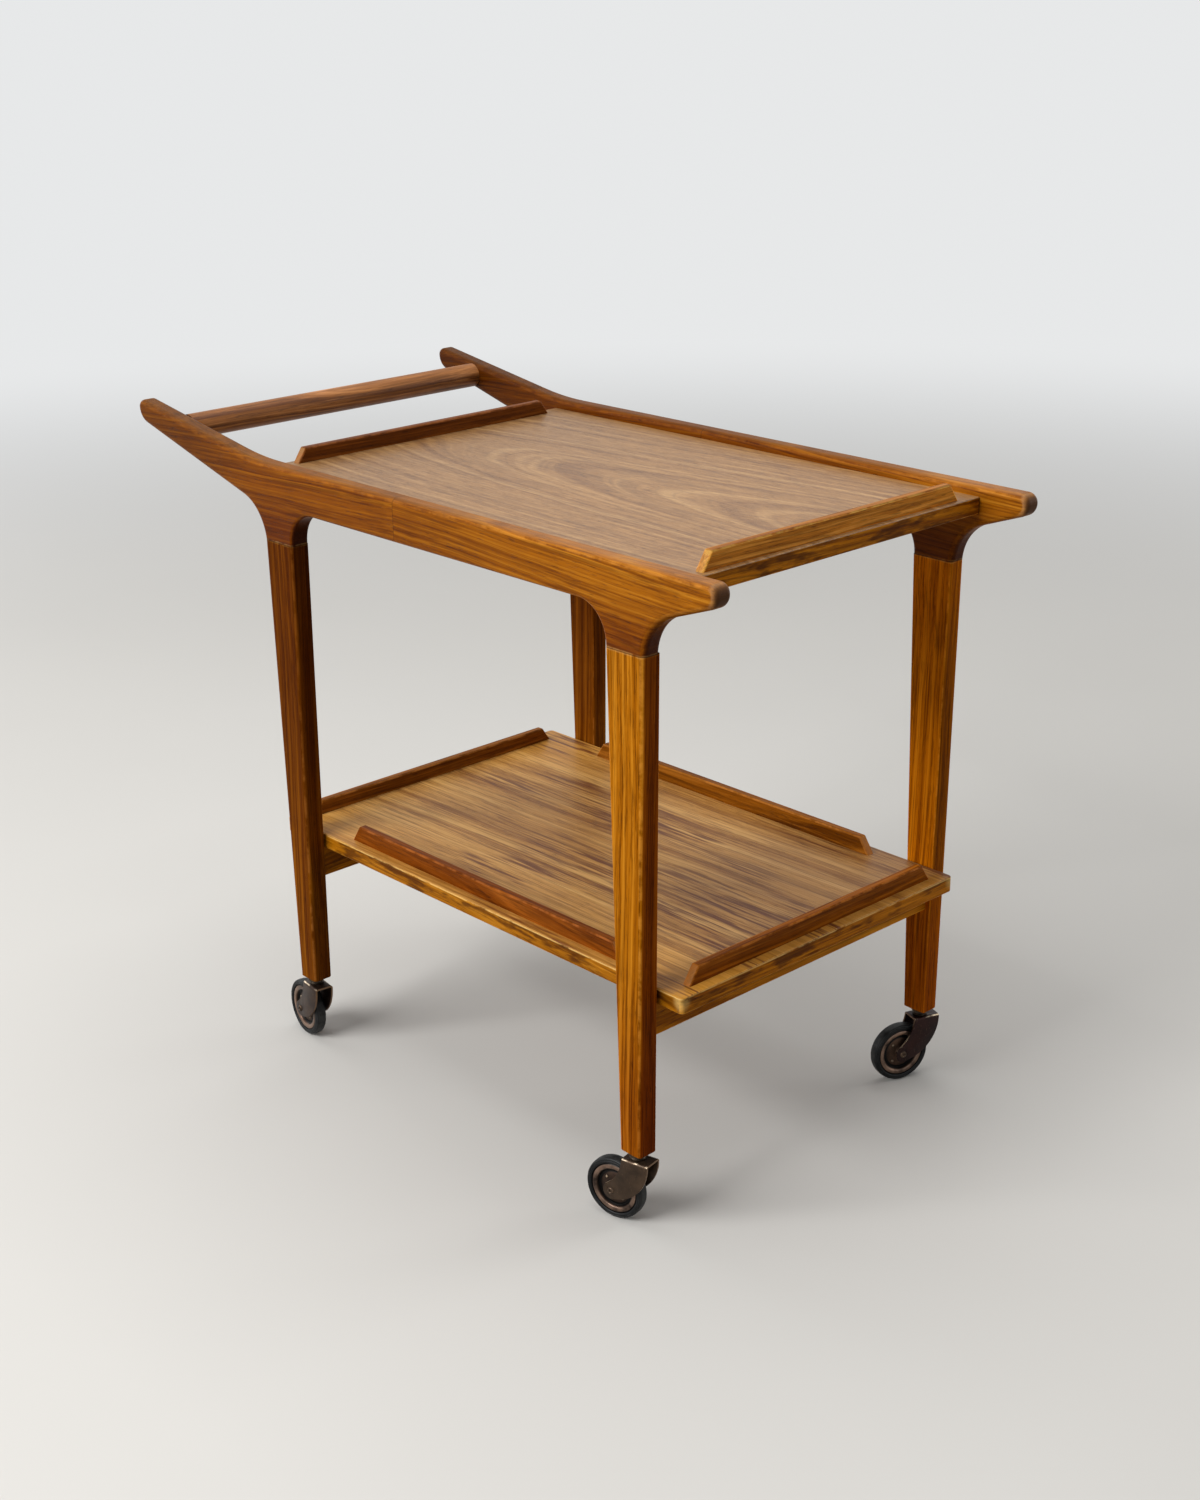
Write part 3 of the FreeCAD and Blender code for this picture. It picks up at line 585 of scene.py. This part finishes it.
def leg_marks(wood, end, side):
    """A glue line with a painted highlight at the rail joint, feet redder, painted shade on the face
    toward the front, painted light toward the ends of the left front leg, and the rear legs darker above."""
    seam(wood, "Z", LEG_JOINT_Z, 0.6, 0.3)
    height = wood.parts(wood.place)["Z"]
    if end == "rear":
        shade(wood, wood.times(wood.ramp(height, *REAR_LEG_Z), 0.85), REAR_LEG_SHADE)
        return
    shade(wood, wood.times(wood.ramp(height, *FRONT_FOOT_Z), 0.85), FRONT_FOOT_SHADE)
    if side == "left":
        # Painted light: the left front leg is lightened toward its top and foot, where the rail and the
        # shelf shade it.
        shade(wood, wood.ramp(wood.off(height, LEG_MIDDLE_Z), *ENDS_PAINTED_LIGHT_REACH), ENDS_PAINTED_LIGHT_GAIN)
    ahead = wood.parts(wood.facing)["X"]
    # Painted shade on the face toward the front.
    shade(wood, wood.ramp(ahead, *LEG_FRONT_FACE), FRONT_FACE_PAINTED_SHADE[side])


for corner in CORNERS:
    end, side = corner.split("_")
    leg_wood = timber(
        f"leg_wood_{corner}", ALONG_Z, (LEG_HEART_X[end], LEG_HEART_Y[side], LEG_HEART_Z), LEG_LEAN,
        LEG_BAND, LEG_TONES[corner], LEG_STREAK, lines=0.14, streak=0.64, fine=620, gloss=0.46,
        specular=0.02, worn=0.5, rounding=(0.4, 0.7),
    )
    leg_marks(leg_wood, end, side)
    fitted(
        shaved_leg(f"leg_{corner}", 1 if end == "front" else -1, 1 if side == "left" else -1),
        f"shaved_leg_{corner}", [leg_wood.material], "frame", f"leg_{corner}",
    )


# Pegs: beech dowels in the leg joints and under the tray, and loose beech tongues in the rail
# splices, all glued in and hidden once the cart is put together.
PEG_TONES = (srgb(214, 178, 132), srgb(200, 160, 112), srgb(176, 134, 88))
PEG_STREAK = srgb(160, 118, 76)
peg_beech = timber(
    "peg_beech", ALONG_Z, (0, 0, 0), (0, 0, 0), 0.004, PEG_TONES, PEG_STREAK, lines=0.2,
)
dress(["leg_dowels", "tray_dowels", "rail_tongues"], peg_beech.material)


# Push bar: a turned rod of darker hardwood, tenoned into both horns and glued,
# its oil dulled by hands.
BAR_TONES = (srgb(196, 132, 76), srgb(153, 96, 45), srgb(98, 52, 14))
BAR_STREAK = srgb(52, 22, 2)
bar_wood = timber(
    "bar_wood", ALONG_Y, (-0.385, 0, 0.655), (0.0, 0.0, 0.02), 0.0055, BAR_TONES, BAR_STREAK,
    lines=0.32, specular=0.22, worn=0.0,
)
dress(["handle_bar"], bar_wood.material)


# Cross rails: plain planed bars under the shelf, tenoned between each pair of legs, with
# countersunk steel screws driven up through them into the shelf.
# The cross rails' tones are set brighter than the wood as painted light against the shelf's shade.
CROSS_TONES_WITH_PAINTED_LIGHT = (srgb(238, 156, 32), srgb(204, 124, 10), srgb(146, 78, 0))
CROSS_STREAK = srgb(64, 28, 4)
cross_wood = timber(
    "cross_rail_wood", ALONG_Y, (0.07, 0, 0.16), (0.0, 0.0, 0.015), 0.006, CROSS_TONES_WITH_PAINTED_LIGHT, CROSS_STREAK,
    lines=0.5, worn=0.4, squared=True,
)
dress(["cross_rail_front", "cross_rail_rear"], cross_wood.material)
SCREW_TONES = (srgb(120, 112, 100), srgb(176, 170, 160))
SCREW_CLOUDS = (900, 900, 900)
screw_steel = Finish("screw_steel")
screw_cloud = screw_steel.noise(screw_steel.place, SCREW_CLOUDS, 3.0)
screw_steel.set(
    Base_Color=screw_steel.tones(screw_cloud, [(0.3, SCREW_TONES[0]), (0.7, SCREW_TONES[1])]),
    Metallic=1.0,
    Roughness=screw_steel.span(screw_cloud, 0.3, 0.5),
)
dress(["shelf_screws"], screw_steel.material)


# Board cores and lippings: blockboard edged with solid golden strips, glued on and planed flush.
# The shelf's top arrises are rubbed pale under a painted highlight, and its corners are knocked pale.
CORE_TONES = (srgb(176, 124, 70), srgb(152, 100, 52), srgb(120, 74, 34))
CORE_STREAK = srgb(104, 60, 26)
core_wood = timber(
    "core_board", ALONG_X, (0, 0, -0.4), (0, 0.01, 0.0), 0.012, CORE_TONES, CORE_STREAK, lines=0.4,
)
dress(["tray_core", "shelf_core"], core_wood.material)
SIDE_LIPPING_TONES = (srgb(214, 144, 40), srgb(172, 106, 12), srgb(112, 54, 0))
# The end lippings' tones are brighter than the side ones as painted light on their shaded front faces.
END_LIPPING_TONES_WITH_PAINTED_LIGHT = (srgb(234, 152, 36), srgb(202, 121, 12), srgb(138, 69, 0))
LIPPING_STREAK = srgb(70, 28, 0)
LIPPING_PATCHES = (20, 20, 90)
LIPPING_WEAR_AND_GLINT_PATCHES = (38, 38, 38)
LIPPING_WEAR_AND_HIGHLIGHT = srgb(244, 200, 118)
LIPPING_GOLD = srgb(224, 138, 12)
TRAY_HALF_WIDTH = 0.1998
SHELF_TOP = 0.254
SHELF_CORNERS = ((0.3795, -0.198, 0.250), (0.3795, 0.198, 0.250), (-0.245, -0.198, 0.250))
TOP_ARRIS = (0.0026, 0.0012)
KNOCKED = (0.014, 0.004)


def lipping(name, run, heart, tones):
    """Edging with golden and dark patches as on plain-sawn wood, rubbed arrises under a painted
    highlight, and knocked corners.
    """
    wood = timber(
        name, run, heart, (0.0, 0.02, 0.02), 0.007, tones, LIPPING_STREAK, lines=0.5, streak=0.5,
        worn=0.6, squared=True,
    )
    dark_patches = wood.patches(wood.place, LIPPING_PATCHES, (0.47, 0.62), 3.0, 0.6)
    tint(wood, wood.times(dark_patches, 0.75), LIPPING_STREAK)
    patchy = wood.patches(wood.place, LIPPING_WEAR_AND_GLINT_PATCHES, (0.34, 0.54), 4.0, 0.65)
    up = wood.parts(wood.facing)["Z"]
    tint(wood, wood.times(wood.ramp(up, 0.6, 0.95), 0.45), LIPPING_GOLD)
    below = wood.off(wood.parts(wood.place)["Z"], SHELF_TOP)
    # Wear and a painted highlight along the shelf's top arris.
    arris = wood.times(wood.ramp(below, *TOP_ARRIS), wood.ramp(up, 0.95, 0.7))
    tint(wood, wood.times(arris, patchy, 0.8), LIPPING_WEAR_AND_HIGHLIGHT)
    for shelf_corner in SHELF_CORNERS:
        knock = wood.ramp(wood.vector("DISTANCE", wood.place, shelf_corner), *KNOCKED)
        tint(wood, wood.times(knock, patchy, 0.6), LIPPING_WEAR_AND_HIGHLIGHT)
    return wood


end_lipping = lipping("lipping_wood_across", ALONG_Y, (0.08, 0, 0.41), END_LIPPING_TONES_WITH_PAINTED_LIGHT)
for board_edge in (TRAY_HALF_WIDTH, -TRAY_HALF_WIDTH):
    seam(end_lipping, "Y", board_edge)
for board in ("tray", "shelf"):
    dress([f"{board}_lipping_front", f"{board}_lipping_rear"], end_lipping.material)
side_lipping = lipping("lipping_wood_along", ALONG_X, (0.08, 0, 0.21), SIDE_LIPPING_TONES)
dress(["shelf_lipping_left", "shelf_lipping_right"], side_lipping.material)


# Tray veneer: one broad flat-sliced leaf with a cathedral figure, glued to the core,
# oiled, and darker toward the push bar.
TRAY_TONES = (srgb(182, 140, 88), srgb(156, 113, 64), srgb(130, 89, 46))
TRAY_STREAK = srgb(84, 50, 20)
TRAY_BACK_X = (0.12, -0.2)
TRAY_BACK_SHADE = (0.66, 0.68, 0.78)
tray_veneer = timber(
    "tray_veneer", ALONG_X, (0.07, 0.01, 0.545), (0, -0.10, 0.02), 0.0060, TRAY_TONES, TRAY_STREAK,
    lines=0.30, streak=0.42, wander=0.013, gloss=0.36, specular=0.5, worn=0.0,
)
tray_back = tray_veneer.ramp(tray_veneer.parts(tray_veneer.place)["X"], *TRAY_BACK_X)
shade(tray_veneer, tray_veneer.times(tray_back, 0.5), TRAY_BACK_SHADE)
dress(["tray_veneer"], tray_veneer.material)


# Shelf veneer: straight-grained leaves laid along the cart and glued to the core, with dark and
# light streaks, golden along the right side, the front edge and the left rear corner. Its tones are
# set lighter as painted light, with painted shade toward the front left and a painted reflection of
# the legs and the tray's underside as a darker patch in the middle.
# The shelf's tones are set lighter than its wood as painted light, for the side light it gets below the
# tray.
SHELF_TONES_WITH_PAINTED_LIGHT = (srgb(232, 182, 108), srgb(208, 154, 82), srgb(168, 114, 54))
SHELF_STREAK = srgb(112, 64, 22)
SHELF_GOLD = srgb(214, 148, 44)
GOLD_REAR_X = (-0.02, -0.22)
GOLD_LEFT_Y = (0.0, 0.16)
GOLD_RIGHT_Y = (-0.11, -0.18)
SHELF_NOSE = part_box("shelf_strip_front")[1][0]
SHELF_NOSE_EASE = 0.004
SHELF_CLUSTERS = (5.0, 14, 1)
SHELF_FEATHERS = (9, 210, 1)
SHELF_SHADE = srgb(110, 58, 26)
SHELF_FORE_X = (0.06, 0.24)
SHELF_FORE_Y = (-0.15, 0.0)
SHELF_FORE_PAINTED_SHADE = (0.60, 0.58, 0.64)
SHELF_REFLECTION_MIDDLE = (-0.02, 0.03, 0.254)
SHELF_REFLECTION_REACH = (0.20, 0.04)
SHELF_PAINTED_REFLECTION = (0.72, 0.64, 0.54)


def shelf_marks(wood):
    """Golden margins, clusters of dark feathered streaks, a painted reflection of the legs and the tray's
    underside as a darker patch in the middle, and painted shade toward the front left.
    """
    spot = wood.parts(wood.place)
    gold_corner = wood.times(wood.ramp(spot["X"], *GOLD_REAR_X), wood.ramp(spot["Y"], *GOLD_LEFT_Y))
    gold_margin = wood.times(wood.ramp(spot["Y"], *GOLD_RIGHT_Y), 0.6)
    tint(wood, wood.times(wood.maths("MAXIMUM", gold_corner, gold_margin), 0.45), SHELF_GOLD)
    nose = wood.ramp(spot["X"], SHELF_NOSE - SHELF_NOSE_EASE, SHELF_NOSE)
    tint(wood, wood.times(nose, 0.55), SHELF_GOLD)
    clusters = wood.patches(wood.place, SHELF_CLUSTERS, (0.45, 0.62))
    feathers = wood.patches(wood.place, SHELF_FEATHERS, (0.47, 0.62), 3.0, 0.6)
    tint(wood, wood.times(clusters, feathers, 0.95), SHELF_SHADE)
    # Painted shade toward the front left.
    fore = wood.times(wood.ramp(spot["X"], *SHELF_FORE_X), wood.ramp(spot["Y"], *SHELF_FORE_Y))
    shade(wood, wood.times(fore, 0.8), SHELF_FORE_PAINTED_SHADE)
    # Painted reflection of the legs and the tray's underside: a darker patch in the middle.
    from_reflection = wood.vector("DISTANCE", wood.place, SHELF_REFLECTION_MIDDLE)
    shade(wood, wood.times(wood.ramp(from_reflection, *SHELF_REFLECTION_REACH), 0.6), SHELF_PAINTED_REFLECTION)


shelf_veneer = timber(
    "shelf_veneer", ALONG_X, (0.1, 0.32, 0.05), (0, 0.02, 0.02), 0.018, SHELF_TONES_WITH_PAINTED_LIGHT, SHELF_STREAK,
    lines=0.34, streak=0.56, wander=0.012, gloss=0.36, specular=0.22, worn=0.0,
)
shelf_marks(shelf_veneer)
dress(["shelf_veneer"], shelf_veneer.material)


# Gallery strips: dark red-brown hardwood bars with rounded tops and leaning ends, let through the
# veneers and glued to the cores. Each is cut from a board of its own tone, but the tray's front strip
# has brighter tones as painted light on its shaded front face, and painted shade on its top.
STRIP_STREAK = srgb(50, 18, 0)
STRIP_TONES = {
    # The tray's front strip has brighter tones as painted light on its shaded front face.
    "tray_strip_front": (srgb(255, 178, 78), srgb(222, 140, 46), srgb(148, 80, 12)),
    "tray_strip_rear": (srgb(130, 72, 22), srgb(102, 52, 10), srgb(68, 28, 0)),
    "shelf_strip_front": (srgb(182, 106, 24), srgb(144, 76, 6), srgb(96, 43, 0)),
    "shelf_strip_rear": (srgb(168, 102, 32), srgb(130, 74, 12), srgb(82, 36, 0)),
    "shelf_strip_left": (srgb(176, 108, 32), srgb(138, 78, 10), srgb(90, 44, 0)),
    "shelf_strip_right": (srgb(158, 86, 22), srgb(126, 62, 6), srgb(88, 36, 0)),
}
STRIP_END = srgb(196, 148, 92)
FRONT_STRIP_TOP_PAINTED_SHADE = (0.48, 0.44, 0.5)
for strip, strip_tones in STRIP_TONES.items():
    front, _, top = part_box(strip)[1]
    if strip.endswith(("left", "right")):
        strip_run = ALONG_X
        strip_heart = (front + 0.02, 0.03, top - 0.045)
    else:
        strip_run = ALONG_Y
        strip_heart = (front + 0.03, 0.0, top - 0.05)
    strip_wood = timber(
        f"{strip}_wood", strip_run, strip_heart, (0.0, 0.01, 0.03), 0.0050, strip_tones, STRIP_STREAK,
        lines=0.34, streak=0.42, worn=0.5, ends=0.5, end_tone=STRIP_END, squared=True,
    )
    if strip == "tray_strip_front":
        # Painted shade on the top of the tray's front strip, taking back the painted light of its tones.
        skyward = strip_wood.ramp(strip_wood.parts(strip_wood.facing)["Z"], 0.3, 0.8)
        shade(strip_wood, skyward, FRONT_STRIP_TOP_PAINTED_SHADE)
    dress([strip], strip_wood.material)


# Caster sockets: brass-plated sleeves, gone dull and brown, driven into the leg feet until the
# flange bears on the end grain.
METAL_CLOUDS = (120, 120, 120)
METAL_DEPTH = 0.00003


def aged_metal(name, deep, worn, rough_low, rough_high):
    """Bare or plated metal, clouded from a deep tone to a worn one that is smoother."""
    metal = Finish(name)
    cloud = metal.noise(metal.place, METAL_CLOUDS, 4.0, 0.55)
    metal.set(
        Base_Color=metal.tones(cloud, [(0.32, deep), (0.72, worn)]),
        Metallic=0.85,
        Roughness=metal.span(cloud, rough_high, rough_low),
    )
    metal.relief(cloud, METAL_DEPTH)
    return metal


socket_brass = aged_metal("socket_brass", srgb(44, 34, 22), srgb(92, 72, 44), 0.35, 0.5)
dress([f"socket_{corner}" for corner in CORNERS], socket_brass.material)


# Caster stems: turned steel pins riveted under the fork plate, with a grooved race cup above it
# that turns against the socket's flange. The pin runs up inside the socket.
STEM_SHAPE = [
    (0, -3.4), (5.0, -3.4), (6.2, -3.0), (6.5, -2.4), (6.5, -2.0), (4.0, -2.0), (4.0, 0.0), (7.3, 0.0),
    (7.9, 0.4), (8.0, 1.0), (8.0, 1.8), (7.5, 2.2), (7.2, 2.5), (7.5, 2.8), (7.9, 3.2), (7.9, 4.2),
    (7.5, 4.8), (6.8, 5.0), (4.0, 5.0), (4.0, 39.6), (3.2, 40.6), (0, 41.0),
]
STEM_FACETS = 48
UPRIGHT = (0, 0, 1)
joints = {joint["name"]: joint for joint in frame["joints"]}


def turn(lathe, outline, pivot, axis, facets, finish=0):
    """Adds a turned form to a mesh. outline holds (radius, place along the axis) in millimetres, and is
    a closed ring, or starts and ends on the axis."""
    axis = Vector(axis).normalized()
    across = axis.orthogonal().normalized()
    beside = axis.cross(across)
    angles = [2 * math.pi * step / facets for step in range(facets)]
    spokes = [across * math.cos(angle) + beside * math.sin(angle) for angle in angles]
    rings = []
    for radius, along in outline:
        middle = Vector(pivot) + axis * along * MM
        points = [middle + spoke * radius * MM for spoke in spokes] if radius else [middle]
        rings.append([lathe.verts.new(point) for point in points])
    following = rings[1:] + (rings[:1] if outline[0][0] else [])
    for first, second in zip(rings, following):
        for step in range(facets):
            after = (step + 1) % facets
            corners = [first[step % len(first)], first[after % len(first)],
                       second[after % len(second)], second[step % len(second)]]
            face = lathe.faces.new(list(dict.fromkeys(corners)))
            face.material_index = finish
            face.smooth = True


stem_steel = aged_metal("stem_steel", srgb(30, 25, 20), srgb(84, 72, 60), 0.35, 0.5)
for corner in CORNERS:
    stem = bmesh.new()
    plate_top = (*joints[f"swivel_{corner}"]["pos_m"][:2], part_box(f"fork_{corner}")[1][2])
    turn(stem, STEM_SHAPE, plate_top, UPRIGHT, STEM_FACETS)
    fitted(
        stem, f"turned_stem_{corner}", [stem_steel.material],
        f"caster_{corner}", f"stem_{corner}",
    )


# Caster forks: sheet steel pressed to a hood, under a dark bronze lacquer that has worn through to
# bright metal along the folds and is scratched. The folds also carry a painted highlight, a fine
# painted highlight runs round the cheeks' edges, and the lacquer carries painted shade at the front
# left and painted light at the front right.
FORK_BREAK = 0.4 * MM
FORK_BREAK_STEPS = 2
FORK_WELD = 0.01 * MM
FLAT_TURN = math.radians(1)
FOLD_TURN = math.radians(40)
FORK_LACQUER_LIT_AND_SHADED = {
    "front_left": (srgb(26, 12, 11), srgb(54, 28, 24)),
    "front_right": (srgb(40, 29, 20), srgb(80, 62, 46)),
    "rear_left": (srgb(34, 20, 15), srgb(70, 50, 36)),
    "rear_right": (srgb(34, 20, 15), srgb(70, 50, 36)),
}
FORK_BARE_AND_HIGHLIGHT = srgb(236, 214, 182)
FORK_SCRATCH_AND_EDGE_HIGHLIGHT = srgb(150, 118, 88)
FORK_CLOUDS = (45, 45, 45)
FORK_SCRATCHES = (900, 900, 220)
FORK_WEAR_AND_GLINT_PATCHES = (70, 70, 70)
LACQUER_DEPTH = 0.00004


def fork_finish(corner):
    finish = Finish(f"fork_bronze_{corner}")
    # The lacquer tones differ by corner: painted shade at the front left and painted light at the front
    # right.
    deep, worn = FORK_LACQUER_LIT_AND_SHADED[corner]
    up = finish.parts(finish.facing)["Z"]
    along_axle = finish.vector("DOT_PRODUCT", finish.facing, joints[f"roll_{corner}"]["axis"])
    sideways = finish.maths("ABSOLUTE", along_axle)
    cloud = finish.noise(finish.place, FORK_CLOUDS, 4.0, 0.55)
    colour = finish.tones(cloud, [(0.3, deep), (0.7, worn)])
    scratches = finish.patches(finish.place, FORK_SCRATCHES, (0.62, 0.74), 3.0, 0.6)
    colour = finish.blend(finish.times(scratches, 0.35), colour, FORK_SCRATCH_AND_EDGE_HIGHLIGHT)
    # Painted highlight: a fine light line round the cheeks' edges.
    edge_highlight = finish.times(finish.ramp(sideways, 0.9, 0.6), finish.ramp(up, 0.4, 0.1))
    colour = finish.blend(finish.times(edge_highlight, 0.55), colour, FORK_SCRATCH_AND_EDGE_HIGHLIGHT)
    # The folds: bare metal worn through, with a painted highlight on their shoulders.
    fold = finish.times(finish.ramp(up, 0.45, 0.65), finish.ramp(up, 0.96, 0.80))
    bare_and_glinting = finish.times(fold, finish.patches(finish.place, FORK_WEAR_AND_GLINT_PATCHES, (0.42, 0.60), 3.0))
    colour = finish.blend(bare_and_glinting, colour, FORK_BARE_AND_HIGHLIGHT)
    finish.set(
        Base_Color=colour,
        Metallic=0.7,
        Roughness=finish.span(finish.maths("MAXIMUM", bare_and_glinting, 0.3), 0.46, 0.26),
    )
    finish.relief(cloud, LACQUER_DEPTH)
    return finish.material


def broken_edges(node, width):
    """A copy of a node's mesh with its sharp edges eased."""
    copy = bmesh.new()
    copy.from_mesh(nodes[node].data)
    bmesh.ops.remove_doubles(copy, verts=copy.verts, dist=FORK_WELD)
    bmesh.ops.dissolve_limit(copy, angle_limit=FLAT_TURN, verts=copy.verts, edges=copy.edges)
    sharp = [edge for edge in copy.edges if edge.is_manifold and edge.calc_face_angle() > FOLD_TURN]
    bmesh.ops.bevel(
        copy, geom=sharp, offset=width, segments=FORK_BREAK_STEPS, profile=0.5, affect="EDGES",
        clamp_overlap=True,
    )
    for face in copy.faces:
        face.smooth = True
    return copy


for corner in CORNERS:
    fitted(
        broken_edges(f"fork_{corner}", FORK_BREAK), f"pressed_fork_{corner}", [fork_finish(corner)],
        f"caster_{corner}", f"fork_{corner}",
    )


# Axles: soft steel rivets put through the cheeks and the wheel's boss, their hollow ends rolled
# over so that they don't come out again.
def mirrored(half):
    """The closed outline of a turned form whose two sides are alike."""
    return half + [(radius, -along) for radius, along in reversed(half)]


AXLE_SHAPE = mirrored([
    (0, 10.9), (1.1, 10.9), (1.4, 11.6), (1.9, 11.95), (2.6, 11.9), (3.4, 11.4), (3.8, 10.75), (2.5, 10.7),
])
AXLE_FACETS = 36
axle_steel = aged_metal("axle_steel", srgb(46, 34, 26), srgb(112, 92, 74), 0.32, 0.48)
for corner in CORNERS:
    axle = bmesh.new()
    roll = joints[f"roll_{corner}"]
    turn(axle, AXLE_SHAPE, roll["pos_m"], roll["axis"], AXLE_FACETS)
    fitted(
        axle, f"rolled_axle_{corner}", [axle_steel.material],
        f"caster_{corner}", f"axle_{corner}",
    )


# Wheel centres: two dished steel pressings riveted back to back round a turned boss, with a rolled
# bronze rim that has kept its colour where the dark lacquer of the dish has not reached. The rim is
# clouded as a painted reflection, and the groove inside it and the gap by the tyre are painted shade.
DISH_SHAPE = mirrored([
    (2.55, 8.4), (4.8, 8.4), (5.5, 8.2), (5.9, 7.6), (6.3, 5.6), (7.4, 4.6), (9.5, 4.2), (12.5, 3.7),
    (15.2, 3.1), (16.6, 2.4), (17.8, 1.9), (19.0, 2.0), (19.7, 2.8), (20.1, 4.0), (20.8, 4.9),
    (21.9, 5.4), (23.4, 5.6), (24.8, 5.45), (25.8, 5.0), (26.3, 4.3), (27.15, 4.0),
])
DISH_FACETS = 96
DISH_RIVETS = 4
DISH_RIVET_RING = 13.2
RIVET_SHAPE = [(0, 2.6), (1.5, 2.6), (1.5, 3.9), (1.2, 4.4), (0.6, 4.65), (0, 4.7)]
RIVET_FACETS = 16
DISH_CLOUDS = (48, 48, 48)
RIM_BRONZE_AND_REFLECTION = (srgb(52, 40, 33), srgb(148, 121, 104))
RIM_START = (20.4, 21.4)
RIM_END = (24.8, 25.6)
RIM_POLISH = (19.5, 21.0)
DISH_BROWN = (srgb(30, 21, 16), srgb(82, 60, 46))
GROOVE_PAINTED_SHADE = srgb(14, 12, 11)
GROOVE_START = (15.8, 17.0)
GROOVE_END = (20.4, 19.6)


def off_axle(finish, corner):
    """Distance from the wheel's own axle, in millimetres."""
    roll = joints[f"roll_{corner}"]
    arm = finish.vector("SUBTRACT", finish.place, roll["pos_m"])
    reach = finish.vector("LENGTH", finish.vector("CROSS_PRODUCT", arm, roll["axis"]))
    return finish.maths("DIVIDE", reach, MM)


def dish_finish(corner):
    finish = Finish(f"wheel_bronze_{corner}")
    radius = off_axle(finish, corner)
    cloud = finish.noise(finish.place, DISH_CLOUDS, 4.0, 0.55)
    # The rim's bronze is clouded light and dark as a painted reflection of an uneven surround.
    rim = finish.tones(cloud, [(0.36, RIM_BRONZE_AND_REFLECTION[0]), (0.62, RIM_BRONZE_AND_REFLECTION[1])])
    dish = finish.tones(cloud, [(0.3, DISH_BROWN[0]), (0.72, DISH_BROWN[1])])
    colour = finish.blend(finish.ramp(radius, *RIM_START), dish, rim)
    # Painted shade in the gap between the rim and the tyre.
    colour = finish.blend(finish.ramp(radius, *RIM_END), colour, GROOVE_PAINTED_SHADE)
    # Painted shade in the groove inside the rim.
    groove = finish.times(finish.ramp(radius, *GROOVE_START), finish.ramp(radius, *GROOVE_END))
    colour = finish.blend(groove, colour, GROOVE_PAINTED_SHADE)
    finish.set(
        Base_Color=colour,
        Metallic=0.8,
        Roughness=finish.span(finish.ramp(radius, *RIM_POLISH), 0.46, 0.32),
    )
    finish.relief(cloud, LACQUER_DEPTH)
    return finish.material


rivet_steel = aged_metal("wheel_rivet", srgb(84, 70, 58), srgb(160, 142, 120), 0.28, 0.42)
for corner in CORNERS:
    roll = joints[f"roll_{corner}"]
    axle_line = Vector(roll["axis"])
    spoke = axle_line.orthogonal().normalized()
    dish = bmesh.new()
    turn(dish, DISH_SHAPE, roll["pos_m"], axle_line, DISH_FACETS)
    for count in range(DISH_RIVETS):
        turned_to = Matrix.Rotation(2 * math.pi * count / DISH_RIVETS, 3, axle_line)
        seat = Vector(roll["pos_m"]) + turned_to @ spoke * DISH_RIVET_RING * MM
        for outward in (1, -1):
            turn(dish, RIVET_SHAPE, seat, axle_line * outward, RIVET_FACETS, finish=1)
    fitted(
        dish, f"dished_wheel_{corner}", [dish_finish(corner), rivet_steel.material],
        f"roller_{corner}", f"wheel_{corner}",
    )


# Tyres: solid black rubber, moulded with two fine steps round each side and stretched over the
# wheel's rim. Dust lies in the steps and on the tread.
TYRE_SHAPE = mirrored([
    (27.2, 4.05), (26.5, 4.3), (26.4, 5.0), (26.8, 5.7), (27.6, 6.15), (28.8, 6.25), (29.2, 5.8),
    (29.6, 5.8), (29.9, 6.1), (30.6, 6.0), (30.9, 5.5), (31.3, 5.4), (31.8, 4.8), (32.1, 3.8),
    (32.3, 2.4), (32.3, 0.4),
])
TYRE_FACETS = 120
TYRE_STEPS = (29.45, 31.1)
TYRE_STEP_REACH = (0.4, 0.1)
TYRE_TREAD = (31.7, 32.2)
TYRE_CLOUDS = (90, 90, 90)
TYRE_DEPTH = 0.00008
RUBBER = (srgb(6, 7, 8), srgb(16, 18, 20))
RUBBER_DUST = srgb(74, 74, 72)


def tyre_finish(corner):
    finish = Finish(f"tyre_rubber_{corner}")
    radius = off_axle(finish, corner)
    cloud = finish.noise(finish.place, TYRE_CLOUDS, 5.0, 0.6)
    colour = finish.tones(cloud, [(0.35, RUBBER[0]), (0.72, RUBBER[1])])
    inner, outer = (finish.ramp(finish.off(radius, step), *TYRE_STEP_REACH) for step in TYRE_STEPS)
    dusty = finish.times(finish.maths("ADD", inner, outer), finish.ramp(cloud, 0.42, 0.62))
    colour = finish.blend(finish.times(dusty, 0.6), colour, RUBBER_DUST)
    tread = finish.times(finish.ramp(radius, *TYRE_TREAD), finish.ramp(cloud, 0.40, 0.65))
    colour = finish.blend(finish.times(tread, 0.45), colour, RUBBER_DUST)
    finish.set(Base_Color=colour, Roughness=finish.span(cloud, 0.36, 0.58), Specular_IOR_Level=0.22)
    finish.relief(cloud, TYRE_DEPTH)
    return finish.material


for corner in CORNERS:
    roll = joints[f"roll_{corner}"]
    tyre = bmesh.new()
    turn(tyre, TYRE_SHAPE, roll["pos_m"], roll["axis"], TYRE_FACETS)
    fitted(
        tyre, f"moulded_tyre_{corner}", [tyre_finish(corner)],
        f"roller_{corner}", f"tyre_{corner}",
    )
